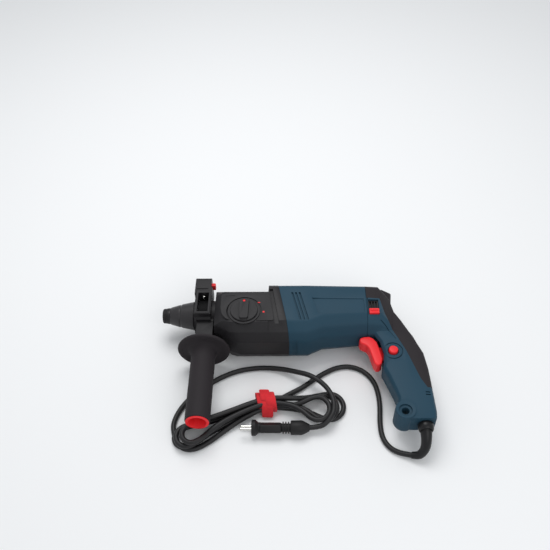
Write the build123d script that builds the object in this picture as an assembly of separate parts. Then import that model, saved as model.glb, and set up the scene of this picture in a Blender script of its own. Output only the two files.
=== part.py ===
from build123d import *

import os
from math import acos, cos, hypot, pi, radians, sin, sqrt, tan

# A corded rotary hammer lying on its right side. Millimetres.
# +X runs from the bit end back to the handle, along the barrel axis.
# +Y is the top of the tool, and both handles point to -Y. +Z is its left side, which faces up.
# The origin is the mouth of the tool holder's bore, on the barrel axis.

# ---- driving dimensions ----
SHANK_RADIUS = 5.0          # 10 mm slotted bit shank
RUNNING = 0.05              # radial clearance of a running fit
LOOSE = 0.3                 # clearance between separate bodies that pass each other
WALL = 3.0                  # housing wall

HALF_WIDTH = 38.0           # barrel axis to the flat side of the housings
TOP_FRONT = 33.0            # barrel axis to the top of the gear housing
TOP = 38.0                  # barrel axis to the top of the motor housing
BELLY = 58.0                # barrel axis to the bottom of the housings

NOSE_RADIUS = 9.5           # outside of the tool holder's nose
CAP_RADIUS = 11.5           # dust cap and stop ring
SLEEVE_FRONT = 12.2         # locking sleeve at its front, at the end of its cone, and at its rear
SLEEVE_WAIST = 16.6
SLEEVE_RADIUS = 20.5
SLEEVE_REAR = 44.5
SLEEVE_TRAVEL = 5.0
NECK_X0 = 50.5              # housing neck that the collar clamps
NECK_RADIUS = 21.5
COLLAR_X0 = 46.0            # side-handle collar, front and rear face of its frame
COLLAR_X1 = 69.0
GEAR_BOX_X0 = 75.0
BAND_X0 = 150.0             # raised band at the rear of the gear housing
SEAM_TOP_X = 162.0          # slanted seam between the housings, at the top
SEAM_SLOPE = 0.177          # how far the seam runs back for each millimetre down
MOTOR_STEP_X0 = 205.0       # where the lower bulge ends
MOTOR_STEP_X1 = 225.0
MOTOR_REAR_X = 287.0

TUBE_RADIUS = 15.0          # spindle tube, outside
CYLINDER_RADIUS = 12.05     # spindle tube, inside
TUBE_REAR = 128.0

SHAFT_MODULE = 1.25         # spindle gear pair
SPINDLE_TEETH = 42
DRIVE_TEETH = 12
MOTOR_MODULE = 1.0          # first gear pair
LARGE_TEETH = 36
PINION_TEETH = 8
LOW_Y = -SHAFT_MODULE * (SPINDLE_TEETH + DRIVE_TEETH) / 2        # intermediate shaft axis
MOTOR_Y = LOW_Y + MOTOR_MODULE * (LARGE_TEETH + PINION_TEETH) / 2  # motor axis

WOBBLE_X = 136.5            # centre of the wobble drive
HUB_RADIUS = 11.0
KNOB_X = 117.0
KNOB_Y = -22.0
KNOB_RADIUS = 19.0

GRIP_X = 61.0               # side handle
GRIP_RADIUS = 16.5
GRIP_END = 172.0
DISC_RADIUS = 36.0
DISC_Y0 = 57.0
DISC_THICKNESS = 5.0

HANDLE_HALF = 17.0          # half the thickness of the main handle
BUTTON_X = 319.0            # lock-on button
BUTTON_Y = -74.0
BUTTON_RADIUS = 6.3
EYE_X = 325.0               # lanyard eye in the foot
EYE_Y = -165.0
EYE_RADIUS = 5.0
RELIEF_X = 350.5            # strain relief in the foot

CORD_RADIUS = 3.5
FLOOR = -HALF_WIDTH         # the surface that the tool lies on
CORD_Z = FLOOR + CORD_RADIUS
PLUG_RADIUS = 10.5


# ---- helpers ----
def rod(radius, x0, x1, y=0.0, z=0.0):
    """Cylinder along X."""
    return Pos((x0 + x1) / 2, y, z) * Rot(0, 90, 0) * Cylinder(radius, x1 - x0)


def ring(outer, inner, x0, x1, y=0.0, z=0.0):
    """Plain ring along X."""
    return rod(outer, x0, x1, y, z) - rod(inner, x0 - 1, x1 + 1, y, z)


def block(x0, x1, y0, y1, z0, z1):
    """Box between two corners."""
    return Pos((x0 + x1) / 2, (y0 + y1) / 2, (z0 + z1) / 2) * Box(x1 - x0, y1 - y0, z1 - z0)


def post(radius, x, y, z0, z1):
    """Cylinder along Z."""
    return Pos(x, y, (z0 + z1) / 2) * Cylinder(radius, z1 - z0)


def bar(radius, x, y0, y1, z=0.0):
    """Cylinder along Y."""
    return Pos(x, (y0 + y1) / 2, z) * Rot(90, 0, 0) * Cylinder(radius, y1 - y0)


def turned(profile, y=0.0):
    """Body turned about an axis along X, from (x, radius) points."""
    outline = Polyline(*[(x, r, 0) for x, r in profile], close=True)
    return Pos(0, y, 0) * revolve(make_face(outline), Axis.X, 360)


def turned_y(profile, x):
    """Body turned about an axis along Y, from (distance down, radius) points."""
    outline = Polyline(*[(r, -down, 0) for down, r in profile], close=True)
    return Pos(x, 0, 0) * revolve(make_face(outline), Axis.Y, 360)


def slab(points, z0, z1, corner=0.0):
    """Side-view outline, extruded along Z."""
    spots = [(x, y, 0) for x, y in points]
    if corner:
        outline = FilletPolyline(*spots, radius=corner, close=True)
    else:
        outline = Polyline(*spots, close=True)
    return Pos(0, 0, z0) * extrude(make_face(outline), z1 - z0, dir=(0, 0, 1))


def mirrored(half):
    """Closed (y, z) section from its left half, listed from top to bottom."""
    return half + [(y, -z) for y, z in reversed(half)]


def inset(points, distance):
    """Polygon with each edge moved inwards by a distance."""
    count = len(points)
    area = sum(points[i - 1][0] * points[i][1] - points[i][0] * points[i - 1][1] for i in range(count))
    turn = -1 if area > 0 else 1
    lines = []
    for i in range(count):
        (a, b), (c, d) = points[i], points[(i + 1) % count]
        size = hypot(c - a, d - b)
        nx, ny = turn * (d - b) / size, -turn * (c - a) / size
        lines.append((nx, ny, nx * a + ny * b + distance))
    moved = []
    for i in range(count):
        n0, n1 = lines[i - 1], lines[i]
        det = n0[0] * n1[1] - n0[1] * n1[0]
        moved.append(((n0[2] * n1[1] - n0[1] * n1[2]) / det, (n0[0] * n1[2] - n0[2] * n1[0]) / det))
    return moved


def section(points, x):
    """Face across X at x, from (y, z) points."""
    return make_face(Polyline(*[(x, y, z) for y, z in points], close=True))


def prism(points, x0, x1):
    """(y, z) section extruded along X."""
    return extrude(section(points, x0), x1 - x0, dir=(1, 0, 0))


def tapered(points0, x0, points1, x1):
    """Flat-sided body between two sections with the same number of points."""
    return loft([section(points0, x0), section(points1, x1)], ruled=True)


def involute(angle):
    return tan(angle) - angle


def gear(teeth, module, addendum, x0, x1, y, first_angle, bore):
    """Spur gear along X. Its teeth are a little thin, for backlash; first_angle is from +Y."""
    pressure = radians(20)
    pitch = module * teeth / 2
    base = pitch * cos(pressure)
    root = pitch - 1.15 * module
    tip = pitch + addendum * module
    flank = [max(root, base) + (tip - max(root, base)) * k / 4 for k in range(5)]
    half_pitch = 0.43 * pi / teeth + involute(pressure)
    side = [(root, half_pitch)] if root < base else []
    side += [(r, half_pitch - involute(acos(min(1.0, base / r)))) for r in flank]
    points = []
    for tooth in range(teeth):
        centre = radians(first_angle) + 2 * pi * tooth / teeth
        for r, half in side:
            points.append((y + r * cos(centre - half), r * sin(centre - half)))
        for r, half in reversed(side):
            points.append((y + r * cos(centre + half), r * sin(centre + half)))
    return prism(points, x0, x1) - rod(bore, x0 - 1, x1 + 1, y)


def bent_rod(points, radii):
    """Round bar through points, with a ball at each inner point and flat ends."""
    body = None
    for i in range(len(points) - 1):
        start, end = Vector(*points[i]), Vector(*points[i + 1])
        way = end - start
        place = Plane(origin=start, z_dir=way.normalized())
        r0, r1 = radii[i], radii[i + 1]
        if abs(r0 - r1) < 0.01:
            piece = place * Pos(0, 0, way.length / 2) * Cylinder(r0, way.length)
        else:
            piece = place * Pos(0, 0, way.length / 2) * Cone(r0, r1, way.length)
        body = piece if body is None else body + piece
        if i:
            body += Pos(*points[i]) * Sphere(r0)
    return body


parts = {}

# ---- housing sections, (y, z), listed from top to bottom ----
GEAR_SECTION = mirrored([(TOP_FRONT, 10), (TOP_FRONT - 9, 25), (TOP_FRONT - 20, HALF_WIDTH),
                         (-40, HALF_WIDTH), (-51, 28), (-BELLY, 14)])
BAND_SECTION = mirrored([(TOP, 18), (TOP - 10, 34), (TOP - 16, HALF_WIDTH),
                         (-38, HALF_WIDTH), (-51, 28), (-BELLY, 14)])
WAIST_SECTION = mirrored([(TOP, 18), (TOP - 9, 32), (TOP - 16, HALF_WIDTH - 2),
                          (-27, HALF_WIDTH - 2), (-41, 27), (-49, 12)])
REAR_SECTION = mirrored([(TOP - 1, 18), (TOP - 9, 30), (TOP - 15, HALF_WIDTH - 3.5),
                         (-22, HALF_WIDTH - 3.5), (-35, 26), (-43.5, 12)])


def seam_x(y):
    return SEAM_TOP_X + (TOP - y) * SEAM_SLOPE


def behind_seam(x_end):
    """Everything behind the slanted seam, up to x_end."""
    return slab([(seam_x(80), 80), (x_end, 80), (x_end, -100), (seam_x(-100), -100)], -60, 60)


def ahead_of_seam(x_start):
    """Everything ahead of the slanted seam, from x_start."""
    return slab([(x_start, 80), (seam_x(80), 80), (seam_x(-100), -100), (x_start, -100)], -60, 60)


# ---- tool holder and chuck ----
HOLDER_REAR = 74.0
BALL_X = 21.0
BALL_RADIUS = 3.5
COUNTERBORE = 8.3
BORE_RADIUS = SHANK_RADIUS + RUNNING
GUIDE_LENGTH = 12.0         # plain guide at the mouth; the bore behind it is relieved
KEY_REAR = 48.0
holder = turned([(0, BORE_RADIUS), (0, NOSE_RADIUS), (40, NOSE_RADIUS), (40, 13.5), (43, 13.5),
                 (43, CYLINDER_RADIUS - 0.02), (HOLDER_REAR, CYLINDER_RADIUS - 0.02),
                 (HOLDER_REAR, COUNTERBORE), (62, COUNTERBORE), (62, SHANK_RADIUS + LOOSE),
                 (GUIDE_LENGTH, SHANK_RADIUS + LOOSE), (GUIDE_LENGTH, BORE_RADIUS)])
for side in (1, -1):
    # drive keys that enter the shank's open grooves
    holder += block(GUIDE_LENGTH + 1, KEY_REAR, -1.3, 1.3,
                    *sorted((side * (SHANK_RADIUS - 1.4), side * (SHANK_RADIUS + 0.7))))
    # oval windows for the locking balls
    holder -= Pos(BALL_X, side * 7.5, 0) * Rot(90, 0, 0) * Cylinder(BALL_RADIUS + 0.15, 7)
parts["tool_holder"] = holder

BALL_Y = SHANK_RADIUS - 1.4 + BALL_RADIUS
BALL_RING = BALL_Y + BALL_RADIUS + 0.2        # inside of the sleeve's locking land
SPRING_SEAT = 14.2
parts["locking_balls"] = Compound(children=[
    Pos(BALL_X, side * BALL_Y, 0) * Sphere(BALL_RADIUS) for side in (1, -1)])

parts["dust_cap"] = turned([(-2, SHANK_RADIUS + 0.8), (-2, CAP_RADIUS - 2), (-1, CAP_RADIUS - 1.2), (0, CAP_RADIUS - 0.9),
                            (7, CAP_RADIUS), (7, NOSE_RADIUS + 0.02), (-0.02, NOSE_RADIUS + 0.02),
                            (-0.02, SHANK_RADIUS + 0.8)])
parts["sleeve_stop_ring"] = ring(CAP_RADIUS, NOSE_RADIUS + 0.02, 7.1, 8.5)

# The sleeve's land holds the balls in at rest; pulled back, its recess lets them out.
parts["locking_sleeve"] = turned([
    (8.8, NOSE_RADIUS + LOOSE), (8.8, SLEEVE_FRONT), (24, SLEEVE_WAIST), (SLEEVE_REAR - 1, SLEEVE_RADIUS),
    (SLEEVE_REAR, SLEEVE_RADIUS - 1), (SLEEVE_REAR, SPRING_SEAT), (BALL_X + 5, SPRING_SEAT), (BALL_X + 5, BALL_RING),
    (BALL_X - 1.5, BALL_RING), (BALL_X - 2.6, BALL_RING + 1.1), (12, BALL_RING + 1.1), (12, NOSE_RADIUS + LOOSE)])
SPRING_X0 = 26.0 + SLEEVE_TRAVEL + 0.5
SPRING_TURN = 2.7
parts["sleeve_spring"] = Compound(children=[
    Pos(SPRING_X0 + 1 + SPRING_TURN * turn, 0, 0) * Rot(0, 90, 0) * Torus(11.4, 0.95)
    for turn in range(3)])

# ---- spindle ----
spindle = ring(TUBE_RADIUS, CYLINDER_RADIUS, 50.0, TUBE_REAR)
parts["spindle_tube"] = spindle
GEAR_X0 = 96.0
GEAR_X1 = 104.0
parts["spindle_gear"] = gear(SPINDLE_TEETH, SHAFT_MODULE, 0.7, GEAR_X0, GEAR_X1, 0, 180 + 180 / SPINDLE_TEETH,
                             TUBE_RADIUS + 0.02)
GUIDE_X0 = 76.0
GUIDE_X1 = 84.0
BOLT_TAIL = 6.0
parts["impact_bolt_guide"] = ring(CYLINDER_RADIUS - 0.02, BOLT_TAIL + RUNNING, GUIDE_X0, GUIDE_X1)
parts["impact_bolt"] = turned([(52, 0), (52, SHANK_RADIUS), (66, SHANK_RADIUS), (66, COUNTERBORE - 0.3),
                               (72, COUNTERBORE - 0.3), (72, BOLT_TAIL), (88, BOLT_TAIL), (88, 0)])

PISTON_BORE = 9.5
PISTON_X0 = 92.0
PISTON_X1 = 143.3
PISTON_WALL_X = 126.0
piston = turned([(PISTON_X0, PISTON_BORE), (PISTON_X0, CYLINDER_RADIUS - RUNNING),
                 (PISTON_X1, CYLINDER_RADIUS - RUNNING), (PISTON_X1, 0), (PISTON_WALL_X, 0),
                 (PISTON_WALL_X, PISTON_BORE)])
FINGER_BALL = 4.2
piston -= block(WOBBLE_X - FINGER_BALL - 0.15, WOBBLE_X + FINGER_BALL + 0.15, -20, 5,
                -FINGER_BALL - 0.3, FINGER_BALL + 0.3)
piston -= block(WOBBLE_X - 6.6, WOBBLE_X + 6.6, -20, -6, -FINGER_BALL - 0.3, FINGER_BALL + 0.3)
parts["piston"] = piston
parts["striker"] = rod(PISTON_BORE - RUNNING, 96, 116)

# ---- wobble drive and intermediate shaft ----
RING_BORE = HUB_RADIUS + LOOSE
RING_OUTER = 15.5
RING_HALF = 4.0
finger = bar(2.8, WOBBLE_X, LOW_Y + 14.5, -2) + Pos(WOBBLE_X, 0, 0) * Sphere(FINGER_BALL)
LOW_SHAFT = 5.0


def at_radius(radius, x):
    return sqrt(radius ** 2 - x ** 2)


# The ring's bore and the hub share one ball-shaped surface, so that the ring can rock on it.
ring_edges = [ThreePointArc((-RING_HALF, at_radius(RING_BORE, RING_HALF)), (0, RING_BORE),
                            (RING_HALF, at_radius(RING_BORE, RING_HALF))),
              Polyline((RING_HALF, at_radius(RING_BORE, RING_HALF)), (RING_HALF, RING_OUTER),
                       (-RING_HALF, RING_OUTER), (-RING_HALF, at_radius(RING_BORE, RING_HALF)))]
ring_body = revolve(make_face(ring_edges[0] + ring_edges[1]), Axis.X, 360)
parts["wobble_ring"] = Pos(WOBBLE_X, LOW_Y, 0) * ring_body + finger
hub_bore = LOW_SHAFT + 0.02
hub_half = at_radius(HUB_RADIUS, hub_bore)
hub_face = make_face(ThreePointArc((-hub_half, hub_bore), (0, HUB_RADIUS), (hub_half, hub_bore))
                     + Line((hub_half, hub_bore), (-hub_half, hub_bore)))
parts["wobble_hub"] = Pos(WOBBLE_X, LOW_Y, 0) * revolve(hub_face, Axis.X, 360)
shaft = rod(LOW_SHAFT, 82, 167, LOW_Y)
pinion = gear(DRIVE_TEETH, SHAFT_MODULE, 0.8, GEAR_X0 - 1, GEAR_X1 + 1, LOW_Y, 0, LOW_SHAFT - 1)
parts["intermediate_shaft"] = shaft + pinion
LARGE_X0 = 152.0
LARGE_X1 = 158.0
parts["intermediate_gear"] = gear(LARGE_TEETH, MOTOR_MODULE, 0.5, LARGE_X0, LARGE_X1, LOW_Y, 0, LOW_SHAFT + 0.02)
SHIFT_X = 117.5
parts["shift_sleeve"] = turned([(SHIFT_X - 6, LOW_SHAFT + RUNNING), (SHIFT_X - 6, 11), (SHIFT_X - 2, 11),
                                (SHIFT_X - 2, 9), (SHIFT_X + 2, 9), (SHIFT_X + 2, 11), (SHIFT_X + 6, 11),
                                (SHIFT_X + 6, LOW_SHAFT + RUNNING)], LOW_Y)
BEARING_LOW = 8.0
parts["intermediate_bearings"] = Compound(children=[
    ring(BEARING_LOW, LOW_SHAFT + RUNNING, x0, x1, LOW_Y) for x0, x1 in ((82.5, 89), (161, 167))])

# ---- mode knob and what it shifts ----
PIN_THROW = 3.0
DIAL_RADIUS = 22.5
KNOB_SHAFT = 8.0
KNOB_TOP = HALF_WIDTH + 7
DIAL_TOP = HALF_WIDTH + 1.5
knob = post(KNOB_RADIUS, KNOB_X, KNOB_Y, DIAL_TOP + LOOSE, DIAL_TOP + 2.2)
knob += slab([(KNOB_X - 6, KNOB_Y - 17.5), (KNOB_X - 7, KNOB_Y + 17.5), (KNOB_X + 7, KNOB_Y + 17.5),
              (KNOB_X + 6, KNOB_Y - 17.5)], DIAL_TOP + 1, KNOB_TOP, 2)
knob += post(KNOB_SHAFT, KNOB_X, KNOB_Y, 30, DIAL_TOP + 1)
knob += post(2, KNOB_X, KNOB_Y + PIN_THROW, 22, 31)
parts["mode_knob"] = knob
plate = block(KNOB_X - 8, KNOB_X + 9, KNOB_Y - 9, KNOB_Y + 9, 24, 27)
plate += block(SHIFT_X - 1.6, SHIFT_X + 1.6, LOW_Y - 6, KNOB_Y + 9, 9.3, 27)
plate -= block(KNOB_X - 2.7, KNOB_X + 2.7, KNOB_Y - 6, KNOB_Y + 6, 23, 28)
plate -= block(KNOB_X - 6, KNOB_X + 7, KNOB_Y - 6, KNOB_Y + 6, 16, 24)
parts["shift_plate"] = plate

# ---- motor ----
SHAFT_RADIUS = 4.0
PINION_X0 = 151.0
PINION_X1 = 159.5
motor_pinion = gear(PINION_TEETH, MOTOR_MODULE, 0.8, PINION_X0, PINION_X1, MOTOR_Y, 180 + 180 / PINION_TEETH, 0.6)
parts["armature_shaft"] = motor_pinion + rod(SHAFT_RADIUS, PINION_X1, 286, MOTOR_Y) + rod(
    1.5, PINION_X0, PINION_X1 + 1, MOTOR_Y)
CORE_X0 = 192.0
CORE_X1 = 234.0
CORE_RADIUS = 24.0
core = ring(CORE_RADIUS, SHAFT_RADIUS + 0.02, CORE_X0, CORE_X1, MOTOR_Y)
for slot in range(12):
    core -= Pos(0, MOTOR_Y, 0) * Rot(30 * slot, 0, 0) * block(CORE_X0 - 1, CORE_X1 + 1, CORE_RADIUS - 5,
                                                             CORE_RADIUS + 1, -1, 1)
parts["armature_core"] = core
parts["armature_windings"] = Compound(children=[
    turned([(x0, SHAFT_RADIUS + 0.5), (x0, 16), (x1, 21), (x1, SHAFT_RADIUS + 0.5)], MOTOR_Y)
    for x0, x1 in ((184, CORE_X0), (243, CORE_X1))])
COMMUTATOR_RADIUS = 12.0
parts["commutator"] = ring(COMMUTATOR_RADIUS, SHAFT_RADIUS + 0.02, 247, 263, MOTOR_Y)
FAN_RADIUS = 30.0
fan = ring(FAN_RADIUS, SHAFT_RADIUS + 0.02, 173, 175.2, MOTOR_Y) + ring(8, SHAFT_RADIUS + 0.02, 175, 181, MOTOR_Y)
for blade in range(11):
    fan += Pos(0, MOTOR_Y, 0) * Rot(360 * blade / 11, 0, 0) * block(175, 181, 14, FAN_RADIUS - 0.5, -0.9, 0.9)
parts["cooling_fan"] = fan
FRONT_BEARING = 11.0
REAR_BEARING = 9.5
parts["motor_bearings"] = Compound(children=[
    ring(FRONT_BEARING, SHAFT_RADIUS + RUNNING, 161, 168, MOTOR_Y),
    ring(REAR_BEARING, SHAFT_RADIUS + RUNNING, 276, 282, MOTOR_Y)])
FIELD_RADIUS = 32.5
FIELD_BORE = CORE_RADIUS + 0.8
parts["field_core"] = ring(FIELD_RADIUS, FIELD_BORE, 190, 236, MOTOR_Y)
parts["field_windings"] = Compound(children=[
    ring(31, 26, 184, 189.9, MOTOR_Y), ring(31, 26, 236.1, 242, MOTOR_Y)])
BRUSH_X = 255.0
carrier = block(275.5, 283, MOTOR_Y - 8, MOTOR_Y + 8, -31.2, 31.2) + rod(REAR_BEARING + 3.5, 275.5, 283, MOTOR_Y)
carrier -= rod(REAR_BEARING + 0.02, 274, 284, MOTOR_Y)
brushes = []
for side in (1, -1):
    low, high = sorted((side * 14.0, side * 31.8))
    box_low, box_high = sorted((side * (COMMUTATOR_RADIUS + 0.15), side * 27.0))
    arm_low, arm_high = sorted((side * 27.5, side * 31.2))
    carrier += block(BRUSH_X - 4.5, BRUSH_X + 4.5, MOTOR_Y - 5, MOTOR_Y + 5, low, high)
    carrier += block(BRUSH_X, 276, MOTOR_Y - 4, MOTOR_Y + 4, arm_low, arm_high)
    carrier -= block(BRUSH_X - 3.1, BRUSH_X + 3.1, MOTOR_Y - 3.6, MOTOR_Y + 3.6, *sorted((side * 13, side * 27.4)))
    brushes.append(block(BRUSH_X - 3, BRUSH_X + 3, MOTOR_Y - 3.5, MOTOR_Y + 3.5, box_low, box_high))
parts["brush_carrier"] = carrier
parts["carbon_brushes"] = Compound(children=brushes)

# ---- gear housing ----
SEAL_RADIUS = 18.5
BUSH_RADIUS = 19.5
SIDE_VIEW = [(GEAR_BOX_X0, TOP_FRONT - 3), (GEAR_BOX_X0 + 6, TOP_FRONT), (BAND_X0, TOP_FRONT), (BAND_X0, TOP + 1),
             (220, TOP + 1), (220, -BELLY - 1), (112, -BELLY), (97, -52), (GEAR_BOX_X0, -43)]
PLAN_VIEW = [(GEAR_BOX_X0, 27), (GEAR_BOX_X0 + 12, HALF_WIDTH + 1), (220, HALF_WIDTH + 1)]
plan = Polyline(*[(x, 0, z) for x, z in PLAN_VIEW + [(x, -z) for x, z in reversed(PLAN_VIEW)]], close=True)
plan_body = Pos(0, 90, 0) * extrude(make_face(plan), 180, dir=(0, -1, 0))
inner_plan = Polyline(*[(x, 0, z) for x, z in ((79, 23), (91, HALF_WIDTH + 1), (230, HALF_WIDTH + 1),
                                              (230, -HALF_WIDTH - 1), (91, -HALF_WIDTH - 1), (79, -23))], close=True)
inner_plan_body = Pos(0, 90, 0) * extrude(make_face(inner_plan), 180, dir=(0, -1, 0))
INNER_SIDE = [(79, TOP_FRONT - WALL), (240, TOP_FRONT - WALL), (240, -BELLY + WALL), (113, -BELLY + WALL),
              (98, -52 + WALL), (79, -41)]

# The front corners lie inside a cone, so that the collar's button and the guard disc turn past them.
nose_cone = turned([(74, 0), (74, 43.5), (79.5, 43.5), (97.5, 56.3), (105, 62), (151, 90), (151, 0)])
inner_cone = turned([(79, 0), (79, 40.3), (80.2, 40.3), (102.7, 56.3), (151, 88), (151, 0)])
front_box = prism(GEAR_SECTION, GEAR_BOX_X0, BAND_X0) & slab(SIDE_VIEW, -60, 60) & plan_body & nose_cone
band = prism(BAND_SECTION, BAND_X0, 200) & ahead_of_seam(BAND_X0)
cavity = prism(inset(GEAR_SECTION, WALL), 79, 151) & slab(INNER_SIDE, -60, 60) & inner_plan_body & inner_cone
band_cavity = prism(inset(GEAR_SECTION, WALL), 150, 154) + (
    prism(inset(BAND_SECTION, WALL), 153, 240) & ahead_of_seam(152))
housing = front_box + band - cavity - band_cavity + rod(NECK_RADIUS, NECK_X0, GEAR_BOX_X0 + 3)
BUSH_X0 = 79.0
BUSH_X1 = 90.0
housing += rod(BUSH_RADIUS + 3, GEAR_BOX_X0 + 2, BUSH_X1)
housing += rod(BEARING_LOW + 1.5, 78, 89, LOW_Y)
housing -= rod(TUBE_RADIUS + 0.9, NECK_X0 - 1, BUSH_X1 + 1)
housing -= rod(SEAL_RADIUS + 0.02, NECK_X0 - 1, 57)
housing -= rod(BUSH_RADIUS + 0.02, BUSH_X0, BUSH_X1 + 1)
housing -= rod(BEARING_LOW + 0.02, 81, 90, LOW_Y)
housing += post(DIAL_RADIUS, KNOB_X, KNOB_Y, HALF_WIDTH - 1, DIAL_TOP)
housing -= post(KNOB_SHAFT + LOOSE, KNOB_X, KNOB_Y, 30, DIAL_TOP + 1)
SCREW_SPOTS = [(19, 19), (19, -19), (-42, 24), (-42, -24)]
SCREW_RADIUS = 2.0
for y, z in SCREW_SPOTS:
    housing += rod(6.5, 142, 160, y, z)
    housing -= rod(SCREW_RADIUS, 141, 161, y, z)
parts["gear_housing"] = housing
parts["front_seal"] = ring(SEAL_RADIUS, TUBE_RADIUS + RUNNING, NECK_X0 + 0.5, 56.5)

BRIDGE_X0 = 106.0
BRIDGE_X1 = 111.5
parts["spindle_bearings"] = Compound(children=[
    ring(BUSH_RADIUS, TUBE_RADIUS + RUNNING, x0, x1) for x0, x1 in ((BUSH_X0 + 0.3, BUSH_X1), (BRIDGE_X0, BRIDGE_X1))])
bridge = prism(inset(GEAR_SECTION, WALL + LOOSE), BRIDGE_X0, BRIDGE_X1) & block(100, 120, -51.5, 40, -50, 50)
bridge -= rod(BUSH_RADIUS + 0.02, BRIDGE_X0 - 1, BRIDGE_X1 + 1)
bridge -= rod(12, BRIDGE_X0 - 1, BRIDGE_X1 + 1, LOW_Y)
bridge -= block(BRIDGE_X0 - 1, BRIDGE_X1 + 1, KNOB_Y - 10, KNOB_Y + 10, 21, HALF_WIDTH)
parts["bearing_bridge"] = bridge

FLANGE_X0 = 160.5
FLANGE_X1 = 168.0
flange = prism(inset(BAND_SECTION, WALL + LOOSE), FLANGE_X0, FLANGE_X1)
flange -= rod(FRONT_BEARING + 0.02, FLANGE_X0 - 1, FLANGE_X1 + 1, MOTOR_Y)
flange -= rod(BEARING_LOW + 0.02, FLANGE_X0 - 1, FLANGE_X1 + 1, LOW_Y)
for y, z in SCREW_SPOTS:
    flange -= rod(SCREW_RADIUS + 0.2, FLANGE_X0 - 1, FLANGE_X1 + 1, y, z)
parts["inner_flange"] = flange
parts["flange_screws"] = Compound(children=[
    rod(SCREW_RADIUS, 146, FLANGE_X1, y, z) + rod(3.8, FLANGE_X1, FLANGE_X1 + 2.6, y, z) for y, z in SCREW_SPOTS])

# ---- motor housing ----
motor = prism(BAND_SECTION, 155, MOTOR_STEP_X0) & behind_seam(MOTOR_STEP_X0)
motor += tapered(BAND_SECTION, MOTOR_STEP_X0, WAIST_SECTION, MOTOR_STEP_X1)
motor += tapered(WAIST_SECTION, MOTOR_STEP_X1, REAR_SECTION, MOTOR_REAR_X)
hollow = prism(inset(BAND_SECTION, WALL), 155, MOTOR_STEP_X0)
hollow += tapered(inset(BAND_SECTION, WALL), MOTOR_STEP_X0, inset(WAIST_SECTION, WALL), MOTOR_STEP_X1)
hollow += tapered(inset(WAIST_SECTION, WALL), MOTOR_STEP_X1, inset(REAR_SECTION, WALL), MOTOR_REAR_X)
parts["motor_housing"] = motor - hollow

# ---- main handle ----
BLEND_X = 306.0
BACK_X = 324.0
BLEND_SECTION = mirrored([(TOP - 2, 18), (TOP - 10, 29.5), (TOP - 16, HALF_WIDTH - 4.5),
                          (-24, HALF_WIDTH - 4.5), (-36, 25), (-44, 12)])
BACK_SECTION = mirrored([(20, 9), (17, 13), (12, 16.5), (-38, 16.5), (-44, 13), (-50, 8)])
BACK_EDGE = [(300, TOP - 0.5), (317, TOP - 0.5), (328, 30), (325.5, 12), (328.5, -4), (337, -20), (352, -53),
             (361, -76), (364, -105), (364.5, -134), (365.5, -166), (363, -175)]
FRONT_EDGE = [(327, -176), (313.6, -163), (319, -144), (309, -114), (302, -95), (307, -84), (303, -54),
              (296, -44), (MOTOR_REAR_X + 1, -40)]
HANDLE_OUTLINE = [(MOTOR_REAR_X + 1, TOP - 6)] + BACK_EDGE + FRONT_EDGE
CORE_GAP = 2.5              # thickness of the soft grip


def handle_body(depth):
    """Outside of the handle, or a smaller one that lies depth inside it."""
    def shrink(points):
        return inset(points, depth) if depth else points
    head = tapered(shrink(REAR_SECTION), MOTOR_REAR_X, shrink(BLEND_SECTION), BLEND_X)
    head += tapered(shrink(BLEND_SECTION), BLEND_X, shrink(BACK_SECTION), BACK_X)
    outline = shrink(HANDLE_OUTLINE)
    half = HANDLE_HALF - depth
    edge = 5.0
    middle = slab(outline, -half + edge, half - edge)
    rim = inset(outline, edge * 0.8)
    left = loft([Pos(0, 0, half - edge) * make_face(Polyline(*outline, close=True)),
                 Pos(0, 0, half) * make_face(Polyline(*rim, close=True))], ruled=True)
    return head + middle + left + mirror(left, about=Plane.XY)


outer_handle = handle_body(0)
grip_zone = slab([(MOTOR_REAR_X - 1, 60), (400, 60), (400, -131), (353, -131), (336, -72), (326, -48), (311, -17),
                  (306, 3.5), (MOTOR_REAR_X - 1, 4.5)], -60, 60)
soft_grip = (outer_handle & grip_zone) - handle_body(CORE_GAP)
parts["soft_grip"] = soft_grip
shell = outer_handle - soft_grip - handle_body(WALL + CORE_GAP - 1)
TRIGGER_HALF = 9.5
shell -= block(285, 312, -97, -44, -TRIGGER_HALF - LOOSE, TRIGGER_HALF + LOOSE)
foot = post(13, EYE_X, EYE_Y, -12, 12) & slab(HANDLE_OUTLINE, -20, 20)
foot += block(334, 362, -174, -158, -12, 12)
shell += foot
shell -= post(EYE_RADIUS, EYE_X, EYE_Y, -20, 20)
RELIEF_NECK = 8.0
shell -= bar(RELIEF_NECK + 0.02, RELIEF_X, -180, -150)
BOSSES = [(343, -112), (331, -142), (327, -28)]
BOSS_RADIUS = 4.5
for x, y in BOSSES:
    shell += post(BOSS_RADIUS, x, y, -13, 13)
    shell -= post(SCREW_RADIUS, x, y, -14, 8)
    shell -= post(SCREW_RADIUS + 2, x, y, -40, -11)
left_shell = shell & block(280, 380, -190, 60, 0, 60)
right_shell = shell & block(280, 380, -190, 60, -60, 0)

VENT = (289.5, 304.0, -24.5, 1.5)
left_shell -= block(*VENT, 20, 60)
left_shell -= post(BUTTON_RADIUS + LOOSE, BUTTON_X, BUTTON_Y, 5, 30)
left_shell += post(BUTTON_RADIUS + 4, BUTTON_X, BUTTON_Y, 12, HANDLE_HALF + 1) - post(
    BUTTON_RADIUS + LOOSE, BUTTON_X, BUTTON_Y, 11, HANDLE_HALF + 2)
parts["handle_left"] = left_shell
parts["handle_right"] = right_shell
parts["handle_screws"] = Compound(children=[
    post(SCREW_RADIUS, x, y, -11, 7) + post(SCREW_RADIUS + 1.7, x, y, -13.5, -11) for x, y in BOSSES])

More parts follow.
